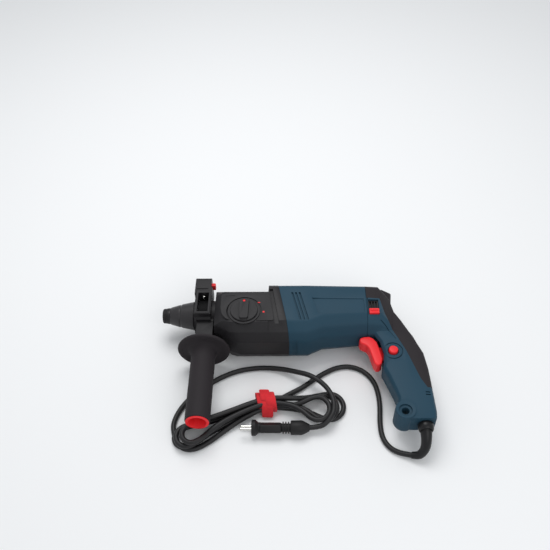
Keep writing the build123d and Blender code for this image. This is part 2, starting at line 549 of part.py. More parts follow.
GRILLE_Z = 27.0
grille = block(VENT[0] + 0.2, VENT[1] - 0.2, VENT[2] + 0.2, VENT[3] - 0.2, GRILLE_Z, GRILLE_Z + 3)
for slot in range(3):
    x = VENT[0] + 3.4 + 3.9 * slot
    grille -= block(x - 1.1, x + 1.1, -22, -0.5, GRILLE_Z - 1, GRILLE_Z + 4)
parts["vent_grille"] = grille
parts["reversing_slider"] = block(VENT[0] + LOOSE, VENT[1] - LOOSE, VENT[2] + LOOSE, VENT[2] + 9, GRILLE_Z + 3.3, 36)

# ---- trigger, switch and lock-on button ----
TRIGGER_TRAVEL = 6.0
trigger = slab([(276, -48), (280, -45.2), (290, -44.4), (300.5, -53), (305.5, -82), (303, -92), (296, -94),
                (292.5, -89.5), (288, -64), (283.5, -58), (277, -54)], -TRIGGER_HALF, TRIGGER_HALF)
trigger = fillet(trigger.edges().filter_by(Axis.Z), 1.5)
trigger = chamfer(trigger.faces().filter_by(Axis.Z).edges(), 1.4)
SWITCH_X0 = 321.3
STEM_X1 = SWITCH_X0 + 1.7
trigger += block(299, STEM_X1, -80, -60, -4, 4)
parts["trigger"] = trigger
parts["switch_body"] = block(SWITCH_X0, 341, -92, -56, -10, 10) - block(
    SWITCH_X0 - 1, STEM_X1 + TRIGGER_TRAVEL + LOOSE, -80 - LOOSE, -60 + LOOSE, -4 - LOOSE, 4 + LOOSE)
parts["lock_button"] = post(BUTTON_RADIUS, BUTTON_X, BUTTON_Y, 14, HANDLE_HALF + 4) + post(
    1.9, BUTTON_X, BUTTON_Y, 9, 15)

# ---- side handle ----
COLLAR_HALF = 29.0
BAND_THICKNESS = 1.2
band_outer = NECK_RADIUS + 0.02 + BAND_THICKNESS
TOP_X0 = COLLAR_X0 - 3       # the top block leans forward over the chuck, and the foot back to the side handle
TOP_X1 = COLLAR_X1 - 3
FOOT_X0 = COLLAR_X0 + 3.5
FOOT_X1 = COLLAR_X1 + 3.5
collar = block(TOP_X0, TOP_X1, 24, 56, -22, 22) + rod(COLLAR_HALF, COLLAR_X0, COLLAR_X1)
collar += block(FOOT_X0, FOOT_X1, -48, 0, -15, 15)
collar += block(COLLAR_X0, COLLAR_X1, -19, 30, -COLLAR_HALF, COLLAR_HALF)
collar = fillet(collar.edges().filter_by(Axis.X).group_by(Axis.Y)[-1], 6)
collar += bar(13, GRIP_X, -DISC_Y0 + 0.2, -40)
collar -= rod(band_outer + 0.02, TOP_X0 - 1, FOOT_X1 + 1)
WINDOW = (COLLAR_X0 + 4, COLLAR_X1 - 4, -15, 19)
collar -= block(*WINDOW, 10, 40)
collar -= block(*WINDOW, -40, -10)
STOP_HOLE_Y = 44.0
STOP_HOLE_Z = -8.0
STOP_HOLE_RADIUS = 4.1
collar -= rod(STOP_HOLE_RADIUS, TOP_X0 - 1, TOP_X1 + 1, STOP_HOLE_Y, STOP_HOLE_Z)
STOP_Y = 47.0
STOP_Z = 10.0
collar -= block(TOP_X1 - 12, TOP_X1 + 1, STOP_Y - 3.3, STOP_Y + 3.3, STOP_Z - 5.3, STOP_Z + 5.3)
STUD_RADIUS = 4.0
collar -= bar(STUD_RADIUS + 0.2, GRIP_X, -60, -20)
parts["collar_body"] = collar
parts["clamp_band"] = ring(band_outer, NECK_RADIUS + 0.02, NECK_X0 + 1, COLLAR_X1 - 2)
parts["clamp_stud"] = bar(STUD_RADIUS, GRIP_X, -100, -band_outer - 0.6) & block(0, 120, -120, -band_outer, -9, 9)
parts["depth_stop_button"] = block(TOP_X1 - 8, TOP_X1 + 5.5, STOP_Y - 3, STOP_Y + 3, STOP_Z - 5, STOP_Z + 5)

GRIP_Y0 = DISC_Y0 + DISC_THICKNESS
CUP_DEPTH = 40.0
CUP_RADIUS = 13.5
side_grip = turned_y([(DISC_Y0, STUD_RADIUS + 0.2), (DISC_Y0, DISC_RADIUS - 1.5), (DISC_Y0 + 1.5, DISC_RADIUS),
                      (GRIP_Y0 - 1, DISC_RADIUS), (GRIP_Y0, DISC_RADIUS - 1), (GRIP_Y0 + 1.5, 21),
                      (GRIP_Y0 + 7, GRIP_RADIUS + 0.5), (GRIP_Y0 + 14, GRIP_RADIUS), (GRIP_END - 1, GRIP_RADIUS), (GRIP_END, GRIP_RADIUS - 1),
                      (GRIP_END, CUP_RADIUS), (GRIP_END - CUP_DEPTH, CUP_RADIUS), (GRIP_END - CUP_DEPTH, 9),
                      (GRIP_END - CUP_DEPTH - 28, 9), (GRIP_END - CUP_DEPTH - 28, STUD_RADIUS + 0.2)], GRIP_X)
parts["side_grip"] = side_grip
parts["grip_cup"] = turned_y([(GRIP_END - CUP_DEPTH + 0.1, 0), (GRIP_END - CUP_DEPTH + 0.1, CUP_RADIUS - 0.02),
                              (GRIP_END, CUP_RADIUS - 0.02), (GRIP_END + 0.05, CUP_RADIUS + 1.8),
                              (GRIP_END + 1.4, CUP_RADIUS + 1.8), (GRIP_END + 1.4, CUP_RADIUS - 1.8),
                              (GRIP_END - CUP_DEPTH + 2, CUP_RADIUS - 1.8), (GRIP_END - CUP_DEPTH + 2, 0)], GRIP_X)

# ---- strain relief and cord ----
CORD_START = Vector(338, -203.2, -30)
LEAD_SECOND = Vector(322, -199.4, -33.6)
relief_last = CORD_START - (LEAD_SECOND - CORD_START).normalized() * 6
RELIEF_PATH = [(RELIEF_X, -152, 0), (RELIEF_X, -178, 0), (351, -187, -5), (351, -196, -13), (349, -202, -21),
               relief_last.to_tuple(), CORD_START.to_tuple()]
RELIEF_RADII = [RELIEF_NECK, RELIEF_NECK, 7.2, 6.4, 5.7, 5.1, 4.7]
parts["strain_relief"] = bent_rod(RELIEF_PATH, RELIEF_RADII)
parts["cord_clamp"] = block(341, 355.5, -150, -144, -12.2, 12.2) - bar(CORD_RADIUS + 0.02, RELIEF_X, -151, -143)


def cord_tube(name, points):
    """Round cord of straight runs joined by arcs as large as the runs allow."""
    spots = [Vector(*p) for p in points]
    corner_radii = []
    for before, here, after in zip(spots, spots[1:], spots[2:]):
        turn = (here - before).get_angle(after - here)
        run = min((here - before).length, (after - here).length)
        corner_radii.append(0.45 * run / tan(radians(turn) / 2))
    path = FilletPolyline(*points, radius=corner_radii)
    print(name, "length", round(path.length, 1), "radii", [round(r) for r in corner_radii])
    start = Plane(origin=spots[0], z_dir=(spots[1] - spots[0]).normalized())
    tube = sweep(start * Circle(CORD_RADIUS), path=path)
    print(name, "volume over section times length", round(tube.volume / (pi * CORD_RADIUS ** 2 * path.length), 4))
    return tube


# The lead runs from the strain relief into the hank's tie.
LEAD = [CORD_START.to_tuple(), LEAD_SECOND.to_tuple(), (307, -190.5, CORD_Z), (299, -174.5, CORD_Z),
        (298.5, -152, CORD_Z), (301, -130, CORD_Z), (300.5, -108, CORD_Z), (296, -89, CORD_Z),
        (284, -73, CORD_Z), (266, -64.5, CORD_Z), (247, -66, CORD_Z), (229, -75, CORD_Z), (213, -86.5, CORD_Z), (197, -99.5, CORD_Z), (181, -108.5, CORD_Z)]
# The tail runs from the hank's far fold, under the side grip and over the lead, to the plug.
PLUG_X = 205.0
PLUG_Y = -165.0
PLUG_Z = FLOOR + PLUG_RADIUS
TAIL_TOP = FLOOR + 20.5
TAIL = [(23.5, -161.6, CORD_Z), (27, -143, CORD_Z), (36, -125, CORD_Z), (50, -108.5, CORD_Z), (67, -94, CORD_Z),
        (86, -81, CORD_Z), (107, -71.5, CORD_Z), (130, -67, CORD_Z), (153, -67.5, CORD_Z + 1),
        (173, -73, CORD_Z + 5.5), (190, -81, CORD_Z + 11), (205, -88, CORD_Z + 15.5), (219, -98, TAIL_TOP),
        (231, -111.5, TAIL_TOP), (238, -128, TAIL_TOP), (238, -146, TAIL_TOP - 1), (230, -158.5, PLUG_Z + 6),
        (218, PLUG_Y, PLUG_Z), (PLUG_X, PLUG_Y, PLUG_Z)]
parts["cord_lead"] = cord_tube("cord_lead", LEAD)
parts["cord_tail"] = cord_tube("cord_tail", TAIL)

# The hank: strands pulled tight from the left fold to the tie, then fanned out flat.
HANK_TOP = FLOOR + 19.0
FAN_TOP = FLOOR + 10.0
TIGHT = [(30, -189), (62, -172.5), (100, -156), (136, -141), (166, -137), (166, -110.5), (136, -112),
         (100, -126), (62, -142), (24, -163.6)]
tight = slab(TIGHT, FLOOR + 0.2, HANK_TOP, 3)
fan_out = slab([(160, -139), (185, -146), (215, -152), (245, -153), (262, -144), (267, -128), (256, -115),
                (225, -110), (190, -112), (160, -111)], FLOOR + 0.2, FAN_TOP, 4)
parts["cord_hank"] = tight + fan_out
TIE_X = 149.0
tie = slab([(TIE_X - 8, -142.5), (TIE_X + 8, -141), (TIE_X + 8, -107.5), (TIE_X - 8, -108)],
           FLOOR + 0.1, HANK_TOP + 1.6)
tie -= slab(TIGHT, FLOOR - 1, HANK_TOP + 0.05, 3)
parts["cord_tie"] = tie

# ---- plug ----
PIN_SPAN = 7.0
PLUG_TURN = -48.0           # the plug lies turned on its side, so that one pin is above the other
plug = turned([(129, 0), (129, PLUG_RADIUS), (134, PLUG_RADIUS), (135, PLUG_RADIUS - 1), (146, 8.5), (168, 8),
               (169, 6.8), (171, 6.8), (172, 8), (173, 6.8), (175, 6.8), (176, 8), (177, 6.8), (179, 6.8), (180, 9),
               (182, 9.5), (194, 9.5), (198, 8), (PLUG_X, 5), (PLUG_X, 0)])
turned_plug = Pos(0, PLUG_Y, PLUG_Z) * Rot(PLUG_TURN, 0, 0)
parts["plug_body"] = turned_plug * (plug + block(139, 168, -9, 9, -5.5, 5.5))
parts["plug_pins"] = Compound(children=[
    turned_plug * rod(2.0, 114, 129, side * PIN_SPAN, 0) for side in (1, -1)])

# ---- write one file per piece ----
os.makedirs("parts", exist_ok=True)
for name, piece in parts.items():
    export_step(piece, f"parts/{name}.step")
print(len(parts), "parts")
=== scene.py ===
from math import cos, hypot, pi, radians, sin

import bmesh
import bpy
from mathutils import Matrix, Vector


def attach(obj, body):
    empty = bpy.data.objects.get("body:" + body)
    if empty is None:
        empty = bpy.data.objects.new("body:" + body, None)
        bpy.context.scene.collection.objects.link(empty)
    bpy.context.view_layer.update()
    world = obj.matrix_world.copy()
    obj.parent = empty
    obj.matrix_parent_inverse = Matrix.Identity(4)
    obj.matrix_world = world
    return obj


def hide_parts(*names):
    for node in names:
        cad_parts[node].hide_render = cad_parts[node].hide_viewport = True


# A corded rotary hammer lying on its right side, with its cord tied in a hank in front of it.
# Sizes are written in millimetres, and each mesh is scaled to metres when its piece is made.
# +X runs from the bit end to the handle, +Y is the tool's top, and +Z is its left side.
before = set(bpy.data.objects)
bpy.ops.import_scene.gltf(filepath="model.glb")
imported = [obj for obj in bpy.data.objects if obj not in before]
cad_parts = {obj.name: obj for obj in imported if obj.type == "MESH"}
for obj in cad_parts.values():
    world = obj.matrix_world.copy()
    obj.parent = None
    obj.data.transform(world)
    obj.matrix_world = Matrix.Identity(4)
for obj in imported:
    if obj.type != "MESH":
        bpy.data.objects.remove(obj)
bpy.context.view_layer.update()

# ---- camera ----
# It looks down at the tool from the handles' side, a little turned, from about a metre away.
camera_data = bpy.data.cameras.new("camera")
camera_data.sensor_width = 36
camera_data.lens = 44.53
camera_data.clip_start = 0.05
camera = bpy.data.objects.new("camera", camera_data)
bpy.context.collection.objects.link(camera)
camera_right = (0.9998, 0.0083, -0.0174)
camera_up = (0.0054, 0.7454, 0.6666)
camera_back = (0.0184, -0.6666, 0.7452)
camera.matrix_world = Matrix((camera_right, camera_up, camera_back)).transposed().to_4x4()
camera.location = (0.1773, -0.6096, 0.7694)
bpy.context.scene.camera = camera

# ---- floor, world and lamps ----
# A pale matt floor under a soft white studio: a large lamp above and behind, a weaker one at the front,
# and an even world, so that a colour comes out about as it is written.
FLOOR = -38.0
floor_mesh = bpy.data.meshes.new("floor")
bm = bmesh.new()
bmesh.ops.create_grid(bm, x_segments=1, y_segments=1, size=4.0,
                      matrix=Matrix.Translation((0.18, -0.05, FLOOR / 1000)))
bm.to_mesh(floor_mesh)
bm.free()
floor = bpy.data.objects.new("floor", floor_mesh)
bpy.context.collection.objects.link(floor)
floor_paint = bpy.data.materials.new("floor_paint")
floor_paint.use_nodes = True
floor_shader = floor_paint.node_tree.nodes["Principled BSDF"]
floor_shader.inputs["Base Color"].default_value = (0.86, 0.865, 0.87, 1)
floor_shader.inputs["Roughness"].default_value = 0.75
floor_shader.inputs["Specular IOR Level"].default_value = 0.2
floor_mesh.materials.append(floor_paint)

world = bpy.data.worlds.new("studio")
bpy.context.scene.world = world
world.use_nodes = True
world.node_tree.nodes["Background"].inputs["Color"].default_value = (0.95, 0.975, 1.0, 1)
world.node_tree.nodes["Background"].inputs["Strength"].default_value = 0.62


def lamp(name, place, aim, size, power):
    light = bpy.data.lights.new(name, "AREA")
    light.shape = "SQUARE"
    light.size = size
    light.energy = power
    body = bpy.data.objects.new(name, light)
    bpy.context.collection.objects.link(body)
    body.location = place
    body.rotation_euler = (Vector(aim) - Vector(place)).to_track_quat("-Z", "Y").to_euler()


lamp("lamp_above", (0.05, 0.45, 1.25), (0.18, -0.03, 0), 0.8, 9.0)
lamp("lamp_front", (0.7, -1.0, 0.9), (0.18, -0.05, 0), 0.9, 3.5)
bpy.context.scene.view_settings.view_transform = "Standard"


# ---- cord ----
# A black rubber mains lead, 7 mm across. It leaves the foot of the handle, is folded into a hank that a
# strap holds, and comes round again from the far fold to its plug.
CORD_RADIUS = 3.5
CORD_Z = FLOOR + CORD_RADIUS
PLUG_Y = -165.0
PLUG_Z = FLOOR + 10.5
PLUG_TURN = Matrix.Rotation(radians(-48), 3, "X")      # how the plug has rolled over as it lies
PIN_OFFSET = 7
TAIL_TOP = FLOOR + 20.5
LEAD = [(338, -203.2, -30), (322, -199.4, -33.6), (307, -190.5, CORD_Z), (299, -174.5, CORD_Z),
        (298.5, -152, CORD_Z), (301, -130, CORD_Z), (300.5, -108, CORD_Z), (296, -89, CORD_Z),
        (284, -73, CORD_Z), (266, -64.5, CORD_Z), (247, -66, CORD_Z), (229, -75, CORD_Z),
        (213, -86.5, CORD_Z), (197, -99.5, CORD_Z), (181, -108.5, CORD_Z)]
TAIL = [(23.5, -161.6, CORD_Z), (27, -143, CORD_Z), (36, -125, CORD_Z), (50, -108.5, CORD_Z),
        (67, -94, CORD_Z), (86, -81, CORD_Z), (107, -71.5, CORD_Z), (130, -67, CORD_Z),
        (153, -67.5, CORD_Z + 1), (173, -73, CORD_Z + 5.5), (190, -81, CORD_Z + 11),
        (205, -88, CORD_Z + 15.5), (219, -98, TAIL_TOP), (231, -111.5, TAIL_TOP), (238, -128, TAIL_TOP),
        (238, -146, TAIL_TOP - 1), (230, -158.5, PLUG_Z + 6), (218, PLUG_Y, PLUG_Z), (199, PLUG_Y, PLUG_Z)]
# The hank's seven strands lie as one in the middle and six round it where the strap holds them.
TIE = Vector((149, -125.5, 0))                # where the strap holds the hank
LEFTWARDS = Vector((-0.9135, -0.407, 0))      # along the hank from the strap to the left folds
RIGHTWARDS = Vector((0.9975, -0.07, 0))       # and to the right folds
LAYERS = (CORD_Z, CORD_Z + 6.2, CORD_Z + 12.4)
STRANDS = [(3.5, 0), (-3.5, 0), (7, 1), (0, 1), (3.5, 2), (-3.5, 2), (-7, 1)]   # (offset, layer) in the strap
# For each fold: distance of its centre from the strap, radius, height, shift across
LEFT_FOLDS = [(118, 14, 0, -2), (115, 15, 7, -5), (109, 13, 14, -8)]
RIGHT_FOLDS = [(83, 20, 0, 2), (75, 19, 7, -4), (66, 18, 14, -10)]


def hank_point(way, distance, across, height):
    side = Vector((-way.y, way.x, 0))
    if way.x < 0:
        side = -side
    spot = TIE + way * distance + side * across
    return (spot.x, spot.y, height)


def hank_fold(way, fold, strand_in, strand_out, sign):
    """Points of one fold, from the strap along strand_in, round, and back along strand_out."""
    distance, radius, lift, shift = fold
    height = CORD_Z + lift
    points = []
    for strand, side, order in ((strand_in, sign, 1), (strand_out, -sign, -1)):
        offset, layer = STRANDS[strand]
        run = []
        for part, spread in ((0.12, 0.0), (0.5, 0.1), (0.74, 0.45), (0.92, 0.93)):
            across = offset + (side * radius + shift - offset) * spread
            rise = (height - LAYERS[layer]) * min(1, spread * 1.6)
            run.append(hank_point(way, distance * part, across, LAYERS[layer] + rise))
        for along, over in ((0.414, 1.0), (1.0, 0.414)):
            run.append(hank_point(way, distance + radius * along, shift + side * radius * over, height))
        points += run[::order]
    return points


HANK = [hank_point(RIGHTWARDS, 9, STRANDS[0][0], LAYERS[0])]
for fold in range(3):
    HANK += hank_fold(LEFTWARDS, LEFT_FOLDS[fold], 2 * fold, 2 * fold + 1, 1)
    HANK += hank_fold(RIGHTWARDS, RIGHT_FOLDS[fold], 2 * fold + 1, 2 * fold + 2, -1)
HANK += [hank_point(LEFTWARDS, distance, across, height) for distance, across, height in (
    (12, -7, LAYERS[1]), (40, -9, LAYERS[1] - 2), (66, -14, CORD_Z + 1), (90, -21, CORD_Z),
    (114, -24, CORD_Z), (130, -13, CORD_Z))]
ROUTE = LEAD + HANK + TAIL
cord_curve = bpy.data.curves.new("cord", "CURVE")
cord_curve.dimensions = "3D"
cord_curve.bevel_depth = CORD_RADIUS / 1000
cord_curve.bevel_resolution = 4
cord_curve.use_fill_caps = True
strand = cord_curve.splines.new("NURBS")
strand.points.add(len(ROUTE) - 1)
for spot, (x, y, z) in zip(strand.points, ROUTE):
    spot.co = (x / 1000, y / 1000, z / 1000, 1)
strand.order_u = 3
strand.use_endpoint_u = True
strand.resolution_u = 6
cord = bpy.data.objects.new("cord", cord_curve)
bpy.context.collection.objects.link(cord)


def noise(tree, coordinates, scale, detail=2.0):
    node = tree.nodes.new("ShaderNodeTexNoise")
    node.inputs["Scale"].default_value = scale
    node.inputs["Detail"].default_value = detail
    tree.links.new(coordinates, node.inputs["Vector"])
    return node.outputs["Fac"]


def maths(tree, operation, first, second, third=None):
    node = tree.nodes.new("ShaderNodeMath")
    node.operation = operation
    for socket, value in zip(node.inputs, (first, second, third)):
        if value is None:
            continue
        if hasattr(value, "default_value"):
            tree.links.new(value, socket)
        else:
            socket.default_value = value
    return node.outputs[0]


def surface_group(name, settings):
    """New node group that puts out a colour, a roughness and a normal, with its input and output sockets."""
    tree = bpy.data.node_groups.new(name, "ShaderNodeTree")
    for setting, kind in settings:
        tree.interface.new_socket(setting, in_out="INPUT", socket_type=kind)
    for outcome, kind in (("Color", "NodeSocketColor"), ("Roughness", "NodeSocketFloat"),
                          ("Normal", "NodeSocketVector")):
        tree.interface.new_socket(outcome, in_out="OUTPUT", socket_type=kind)
    return tree, tree.nodes.new("NodeGroupInput").outputs, tree.nodes.new("NodeGroupOutput").inputs


def bumped(tree, height):
    """Normal of a surface whose height is given in millimetres."""
    bump = tree.nodes.new("ShaderNodeBump")
    bump.inputs["Strength"].default_value = 1.0
    bump.inputs["Distance"].default_value = 0.001
    tree.links.new(height, bump.inputs["Height"])
    return bump.outputs[0]


def make_moulded_surface():
    """Node group of moulded plastic and rubber: fine grain, slow changes of shade, and rubbed pale specks."""
    tree, given, result = surface_group("moulded_surface", (
        ("Base", "NodeSocketColor"), ("Shade Change", "NodeSocketFloat"), ("Specks", "NodeSocketFloat"),
        ("Gloss", "NodeSocketFloat"), ("Grain Scale", "NodeSocketFloat"),
        ("Grain Height", "NodeSocketFloat")))
    place = tree.nodes.new("ShaderNodeTexCoord").outputs["Object"]
    cloud = noise(tree, place, 22, 3)
    fine = noise(tree, place, 420, 2)
    grain = tree.nodes.new("ShaderNodeTexNoise")
    grain.inputs["Detail"].default_value = 1.5
    tree.links.new(place, grain.inputs["Vector"])
    tree.links.new(given["Grain Scale"], grain.inputs["Scale"])
    mixed = maths(tree, "ADD", maths(tree, "MULTIPLY", cloud, 1.3), maths(tree, "MULTIPLY", fine, 0.7))
    shade = maths(tree, "MULTIPLY_ADD", maths(tree, "SUBTRACT", mixed, 1.0), given["Shade Change"], 1.0)
    hue = tree.nodes.new("ShaderNodeHueSaturation")
    tree.links.new(given["Base"], hue.inputs["Color"])
    tree.links.new(shade, hue.inputs["Value"])
    speck = tree.nodes.new("ShaderNodeMapRange")
    speck.inputs["From Min"].default_value = 0.62
    speck.inputs["From Max"].default_value = 0.78
    tree.links.new(noise(tree, place, 900, 1), speck.inputs["Value"])
    paler = tree.nodes.new("ShaderNodeMix")
    paler.data_type = "RGBA"
    paler.inputs["B"].default_value = (0.2, 0.205, 0.22, 1)
    tree.links.new(maths(tree, "MULTIPLY", speck.outputs[0], given["Specks"]), paler.inputs["Factor"])
    tree.links.new(hue.outputs[0], paler.inputs["A"])
    tree.links.new(paler.outputs["Result"], result["Color"])
    tree.links.new(maths(tree, "MULTIPLY_ADD", maths(tree, "SUBTRACT", mixed, 1.0), 0.16, given["Gloss"]),
                   result["Roughness"])
    ups_and_downs = maths(tree, "MULTIPLY", grain.outputs["Fac"], given["Grain Height"])
    tree.links.new(bumped(tree, ups_and_downs), result["Normal"])
    return tree


moulded_surface = make_moulded_surface()


OUTLETS = (("Color", "Base Color"), ("Roughness", "Roughness"), ("Normal", "Normal"))


def surfaced(name, group, settings, outlets=OUTLETS):
    """New material that feeds its shader from a node group with these settings. Returns both."""
    material = bpy.data.materials.new(name)
    material.use_nodes = True
    tree = material.node_tree
    shader = tree.nodes["Principled BSDF"]
    surface = tree.nodes.new("ShaderNodeGroup")
    surface.node_tree = group
    for setting, value in settings.items():
        surface.inputs[setting].default_value = value
    for outlet, socket in outlets:
        tree.links.new(surface.outputs[outlet], shader.inputs[socket])
    return material, shader


def moulded(name, colour, gloss, change=0.25, specks=0.0, grain=1500.0, height=0.06, sheen=0.5):
    """Moulded plastic or rubber. gloss is its roughness, and height that of its grain in millimetres."""
    material, shader = surfaced(name, moulded_surface, {
        "Base": (*colour, 1), "Shade Change": change, "Specks": specks, "Gloss": gloss,
        "Grain Scale": grain, "Grain Height": height})
    shader.inputs["Specular IOR Level"].default_value = sheen
    return material


cord_rubber = moulded("cord_rubber", (0.014, 0.0135, 0.0145), 0.42, grain=900, height=0.05, sheen=0.3)
cord_curve.materials.append(cord_rubber)
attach(cord, "housing")
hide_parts("cord_lead", "cord_tail", "cord_hank")


# ---- plug ----
# A two-pin rubber plug moulded onto the cord: a round face, a flat-sided body that narrows, and a ribbed
# sleeve where the cord goes in. The two pins are plated brass.
ALONG, UPWARDS = (1, 0, 0), (0, 0, 1)
PLUG_PLACE = (0, PLUG_Y, PLUG_Z)


def spun(bm, profile, centre, axis, across, steps=72):
    """Turns an outline of (distance along the axis, radius) points round an axis through centre."""
    centre, axis, across = Vector(centre), Vector(axis), Vector(across)
    spots = [bm.verts.new(centre + axis * along + across * radius) for along, radius in profile]
    edges = [bm.edges.new(pair) for pair in zip(spots, spots[1:])]
    if hypot(profile[0][0] - profile[-1][0], profile[0][1] - profile[-1][1]) > 0.001 and (
            profile[0][1] > 0.001 and profile[-1][1] > 0.001):
        edges.append(bm.edges.new((spots[-1], spots[0])))
    bmesh.ops.spin(bm, geom=spots + edges, cent=centre, axis=axis, angle=2 * pi, steps=steps, use_merge=True)
    bmesh.ops.remove_doubles(bm, verts=bm.verts, dist=0.0005)
    bmesh.ops.recalc_face_normals(bm, faces=bm.faces)


def prism(bm, outline, z0, z1):
    """Upright block of a side-view outline. Returns its new vertices."""
    ring = [bm.verts.new((x, y, z0)) for x, y in outline]
    face = bm.faces.new(ring)
    lifted = bmesh.ops.extrude_face_region(bm, geom=[face])
    top = [v for v in lifted["geom"] if isinstance(v, bmesh.types.BMVert)]
    bmesh.ops.translate(bm, verts=top, vec=(0, 0, z1 - z0))
    bmesh.ops.recalc_face_normals(bm, faces=bm.faces)
    return ring + top


def box_outline(x0, x1, y0, y1):
    return [(x0, y0), (x1, y0), (x1, y1), (x0, y1)]


def soften(bm, edges, width, segments=4):
    """Rounds these edges of a piece that is still being shaped."""
    bmesh.ops.bevel(bm, geom=edges, offset=width, offset_type="OFFSET", segments=segments, profile=0.5,
                    affect="EDGES", material=-1)


def finished(name, bm, material, rounding=0.0, segments=3, smooth=40):
    """Makes the object of a piece: scales it to metres, shades it, and rounds its edges with a modifier."""
    bmesh.ops.scale(bm, vec=(0.001, 0.001, 0.001), verts=bm.verts)
    mesh = bpy.data.meshes.new(name)
    bm.to_mesh(mesh)
    bm.free()
    mesh.shade_smooth()
    mesh.set_sharp_from_angle(angle=radians(smooth))
    body = bpy.data.objects.new(name, mesh)
    bpy.context.collection.objects.link(body)
    if material:
        mesh.materials.append(material)
    if rounding:
        round_edges(body, rounding, segments)
    return body


def round_edges(body, width, segments=3, angle=32):
    edge = body.modifiers.new("rounding", "BEVEL")
    edge.width = width / 1000
    edge.segments = segments
    edge.limit_method = "ANGLE"
    edge.angle_limit = radians(angle)
    edge.harden_normals = False
    return edge


def fix(body, rides, finish, *nodes):
    """Hangs a piece on the empty of the CAD body it rides on, and hides the CAD nodes it stands for. finish
    is not used.
    """
    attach(body, rides)
    if nodes:
        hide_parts(*nodes)


def shape(body, cutter, operation="DIFFERENCE"):
    """Cuts one object with another, or joins it on, for good. The second object is used up."""
    step = body.modifiers.new("shape", "BOOLEAN")
    step.operation = operation
    step.solver = "EXACT"
    step.object = cutter
    bpy.context.view_layer.update()
    result = bpy.data.meshes.new_from_object(body.evaluated_get(bpy.context.evaluated_depsgraph_get()))
    body.modifiers.clear()
    old = body.data
    body.data = result
    result.name = old.name
    bpy.data.meshes.remove(old)
    bpy.data.objects.remove(cutter)


plug_rubber = moulded("plug_rubber", (0.012, 0.0115, 0.012), 0.5, grain=1300, height=0.08, sheen=0.25)
bm = bmesh.new()
spun(bm, [(129, 0), (129, 9.8), (129.7, 10.5), (134, 10.5), (135, 9.6), (138, 7.2), (146, 6.3), (168, 6.2),
          (168.6, 5.6), (180, 5.6), (180.4, 8.8), (181.6, 9.5), (194, 9.5), (198, 8.2), (204, 5),
          (205, 4.6), (205, 0)], PLUG_PLACE, ALONG, UPWARDS)
plug = finished("plug", bm, plug_rubber)
bm = bmesh.new()
prism(bm, box_outline(139, 168, PLUG_Y - 9, PLUG_Y + 9), PLUG_Z - 5.5, PLUG_Z + 5.5)
soften(bm, bm.edges[:], 2.2, 3)
bmesh.ops.rotate(bm, verts=bm.verts, cent=PLUG_PLACE, matrix=PLUG_TURN)
shape(plug, finished("plug_waist", bm, plug_rubber), "UNION")
round_edges(plug, 0.4, 2)
fix(plug, "housing", "cord_rubber", "plug_body")
bm = bmesh.new()
for x, outer in ((169.6, 7.8), (173.2, 7.7), (176.8, 7.6)):
    spun(bm, [(x, 3), (x, outer), (x + 1.6, outer), (x + 1.6, 3)], PLUG_PLACE, ALONG, UPWARDS, 48)
plug_ribs = finished("plug_ribs", bm, plug_rubber, 0.3, 2)
fix(plug_ribs, "housing", "cord_rubber")


def make_turned_marks():
    """Node group of turned metal: the fine rings that a lathe leaves round the X axis, and dull patches."""
    tree, given, result = surface_group("turned_marks", (
        ("Gloss", "NodeSocketFloat"), ("Ring Height", "NodeSocketFloat"), ("Base", "NodeSocketColor")))
    place = tree.nodes.new("ShaderNodeTexCoord").outputs["Object"]
    stretch = tree.nodes.new("ShaderNodeMapping")
    stretch.inputs["Scale"].default_value = (60, 1, 1)
    tree.links.new(place, stretch.inputs["Vector"])
    rings = noise(tree, stretch.outputs[0], 30, 3)
    patches = noise(tree, place, 60, 3)
    hue = tree.nodes.new("ShaderNodeHueSaturation")
    tree.links.new(given["Base"], hue.inputs["Color"])
    tree.links.new(maths(tree, "MULTIPLY_ADD", patches, 0.3, 0.85), hue.inputs["Value"])
    tree.links.new(hue.outputs[0], result["Color"])
    tree.links.new(maths(tree, "MULTIPLY_ADD", maths(tree, "SUBTRACT", rings, 0.5), 0.3, given["Gloss"]),
                   result["Roughness"])
    tree.links.new(bumped(tree, maths(tree, "MULTIPLY", rings, given["Ring Height"])), result["Normal"])
    return tree


turned_marks = make_turned_marks()


def metal(name, colour, gloss, height=0.02):
    """Machined metal. gloss is its roughness, and height that of its rings in millimetres."""
    material, shader = surfaced(name, turned_marks, {
        "Base": (*colour, 1), "Gloss": gloss, "Ring Height": height})
    shader.inputs["Metallic"].default_value = 1.0
    return material


pin_plating = metal("pin_plating", (0.75, 0.74, 0.70), 0.22)
bm = bmesh.new()
for side in (1, -1):
    spun(bm, [(114, 0), (114, 1.2), (114.8, 2.0), (131, 2.0), (131, 0)],
         (0, PLUG_Y + side * PIN_OFFSET, PLUG_Z), ALONG, UPWARDS, 32)
bmesh.ops.rotate(bm, verts=bm.verts, cent=PLUG_PLACE, matrix=PLUG_TURN)
plug_pins = finished("plug_blades", bm, pin_plating)
fix(plug_pins, "housing", "chrome", "plug_pins")


# ---- cord strap ----
# A red hook-and-loop strap, 15 mm wide, wound twice round the hank at a slant. One end stands up on top, and
# the other hangs down at the front. It is woven tape with a brushed face.
def make_brushed_tape():
    """Material of the strap: a short, uneven pile over a close weave."""
    material, shader = surfaced("strap_tape", moulded_surface, {
        "Base": (0.62, 0.012, 0.02, 1), "Shade Change": 0.5, "Specks": 0.0, "Gloss": 0.85,
        "Grain Scale": 1900.0, "Grain Height": 0.3}, (("Color", "Base Color"), ("Normal", "Normal")))
    shader.inputs["Roughness"].default_value = 0.85
    shader.inputs["Sheen Weight"].default_value = 0.15
    return material


STRAP_Y, STRAP_Z = -125.5, CORD_Z + 6.2      # middle of the hank where the strap holds it


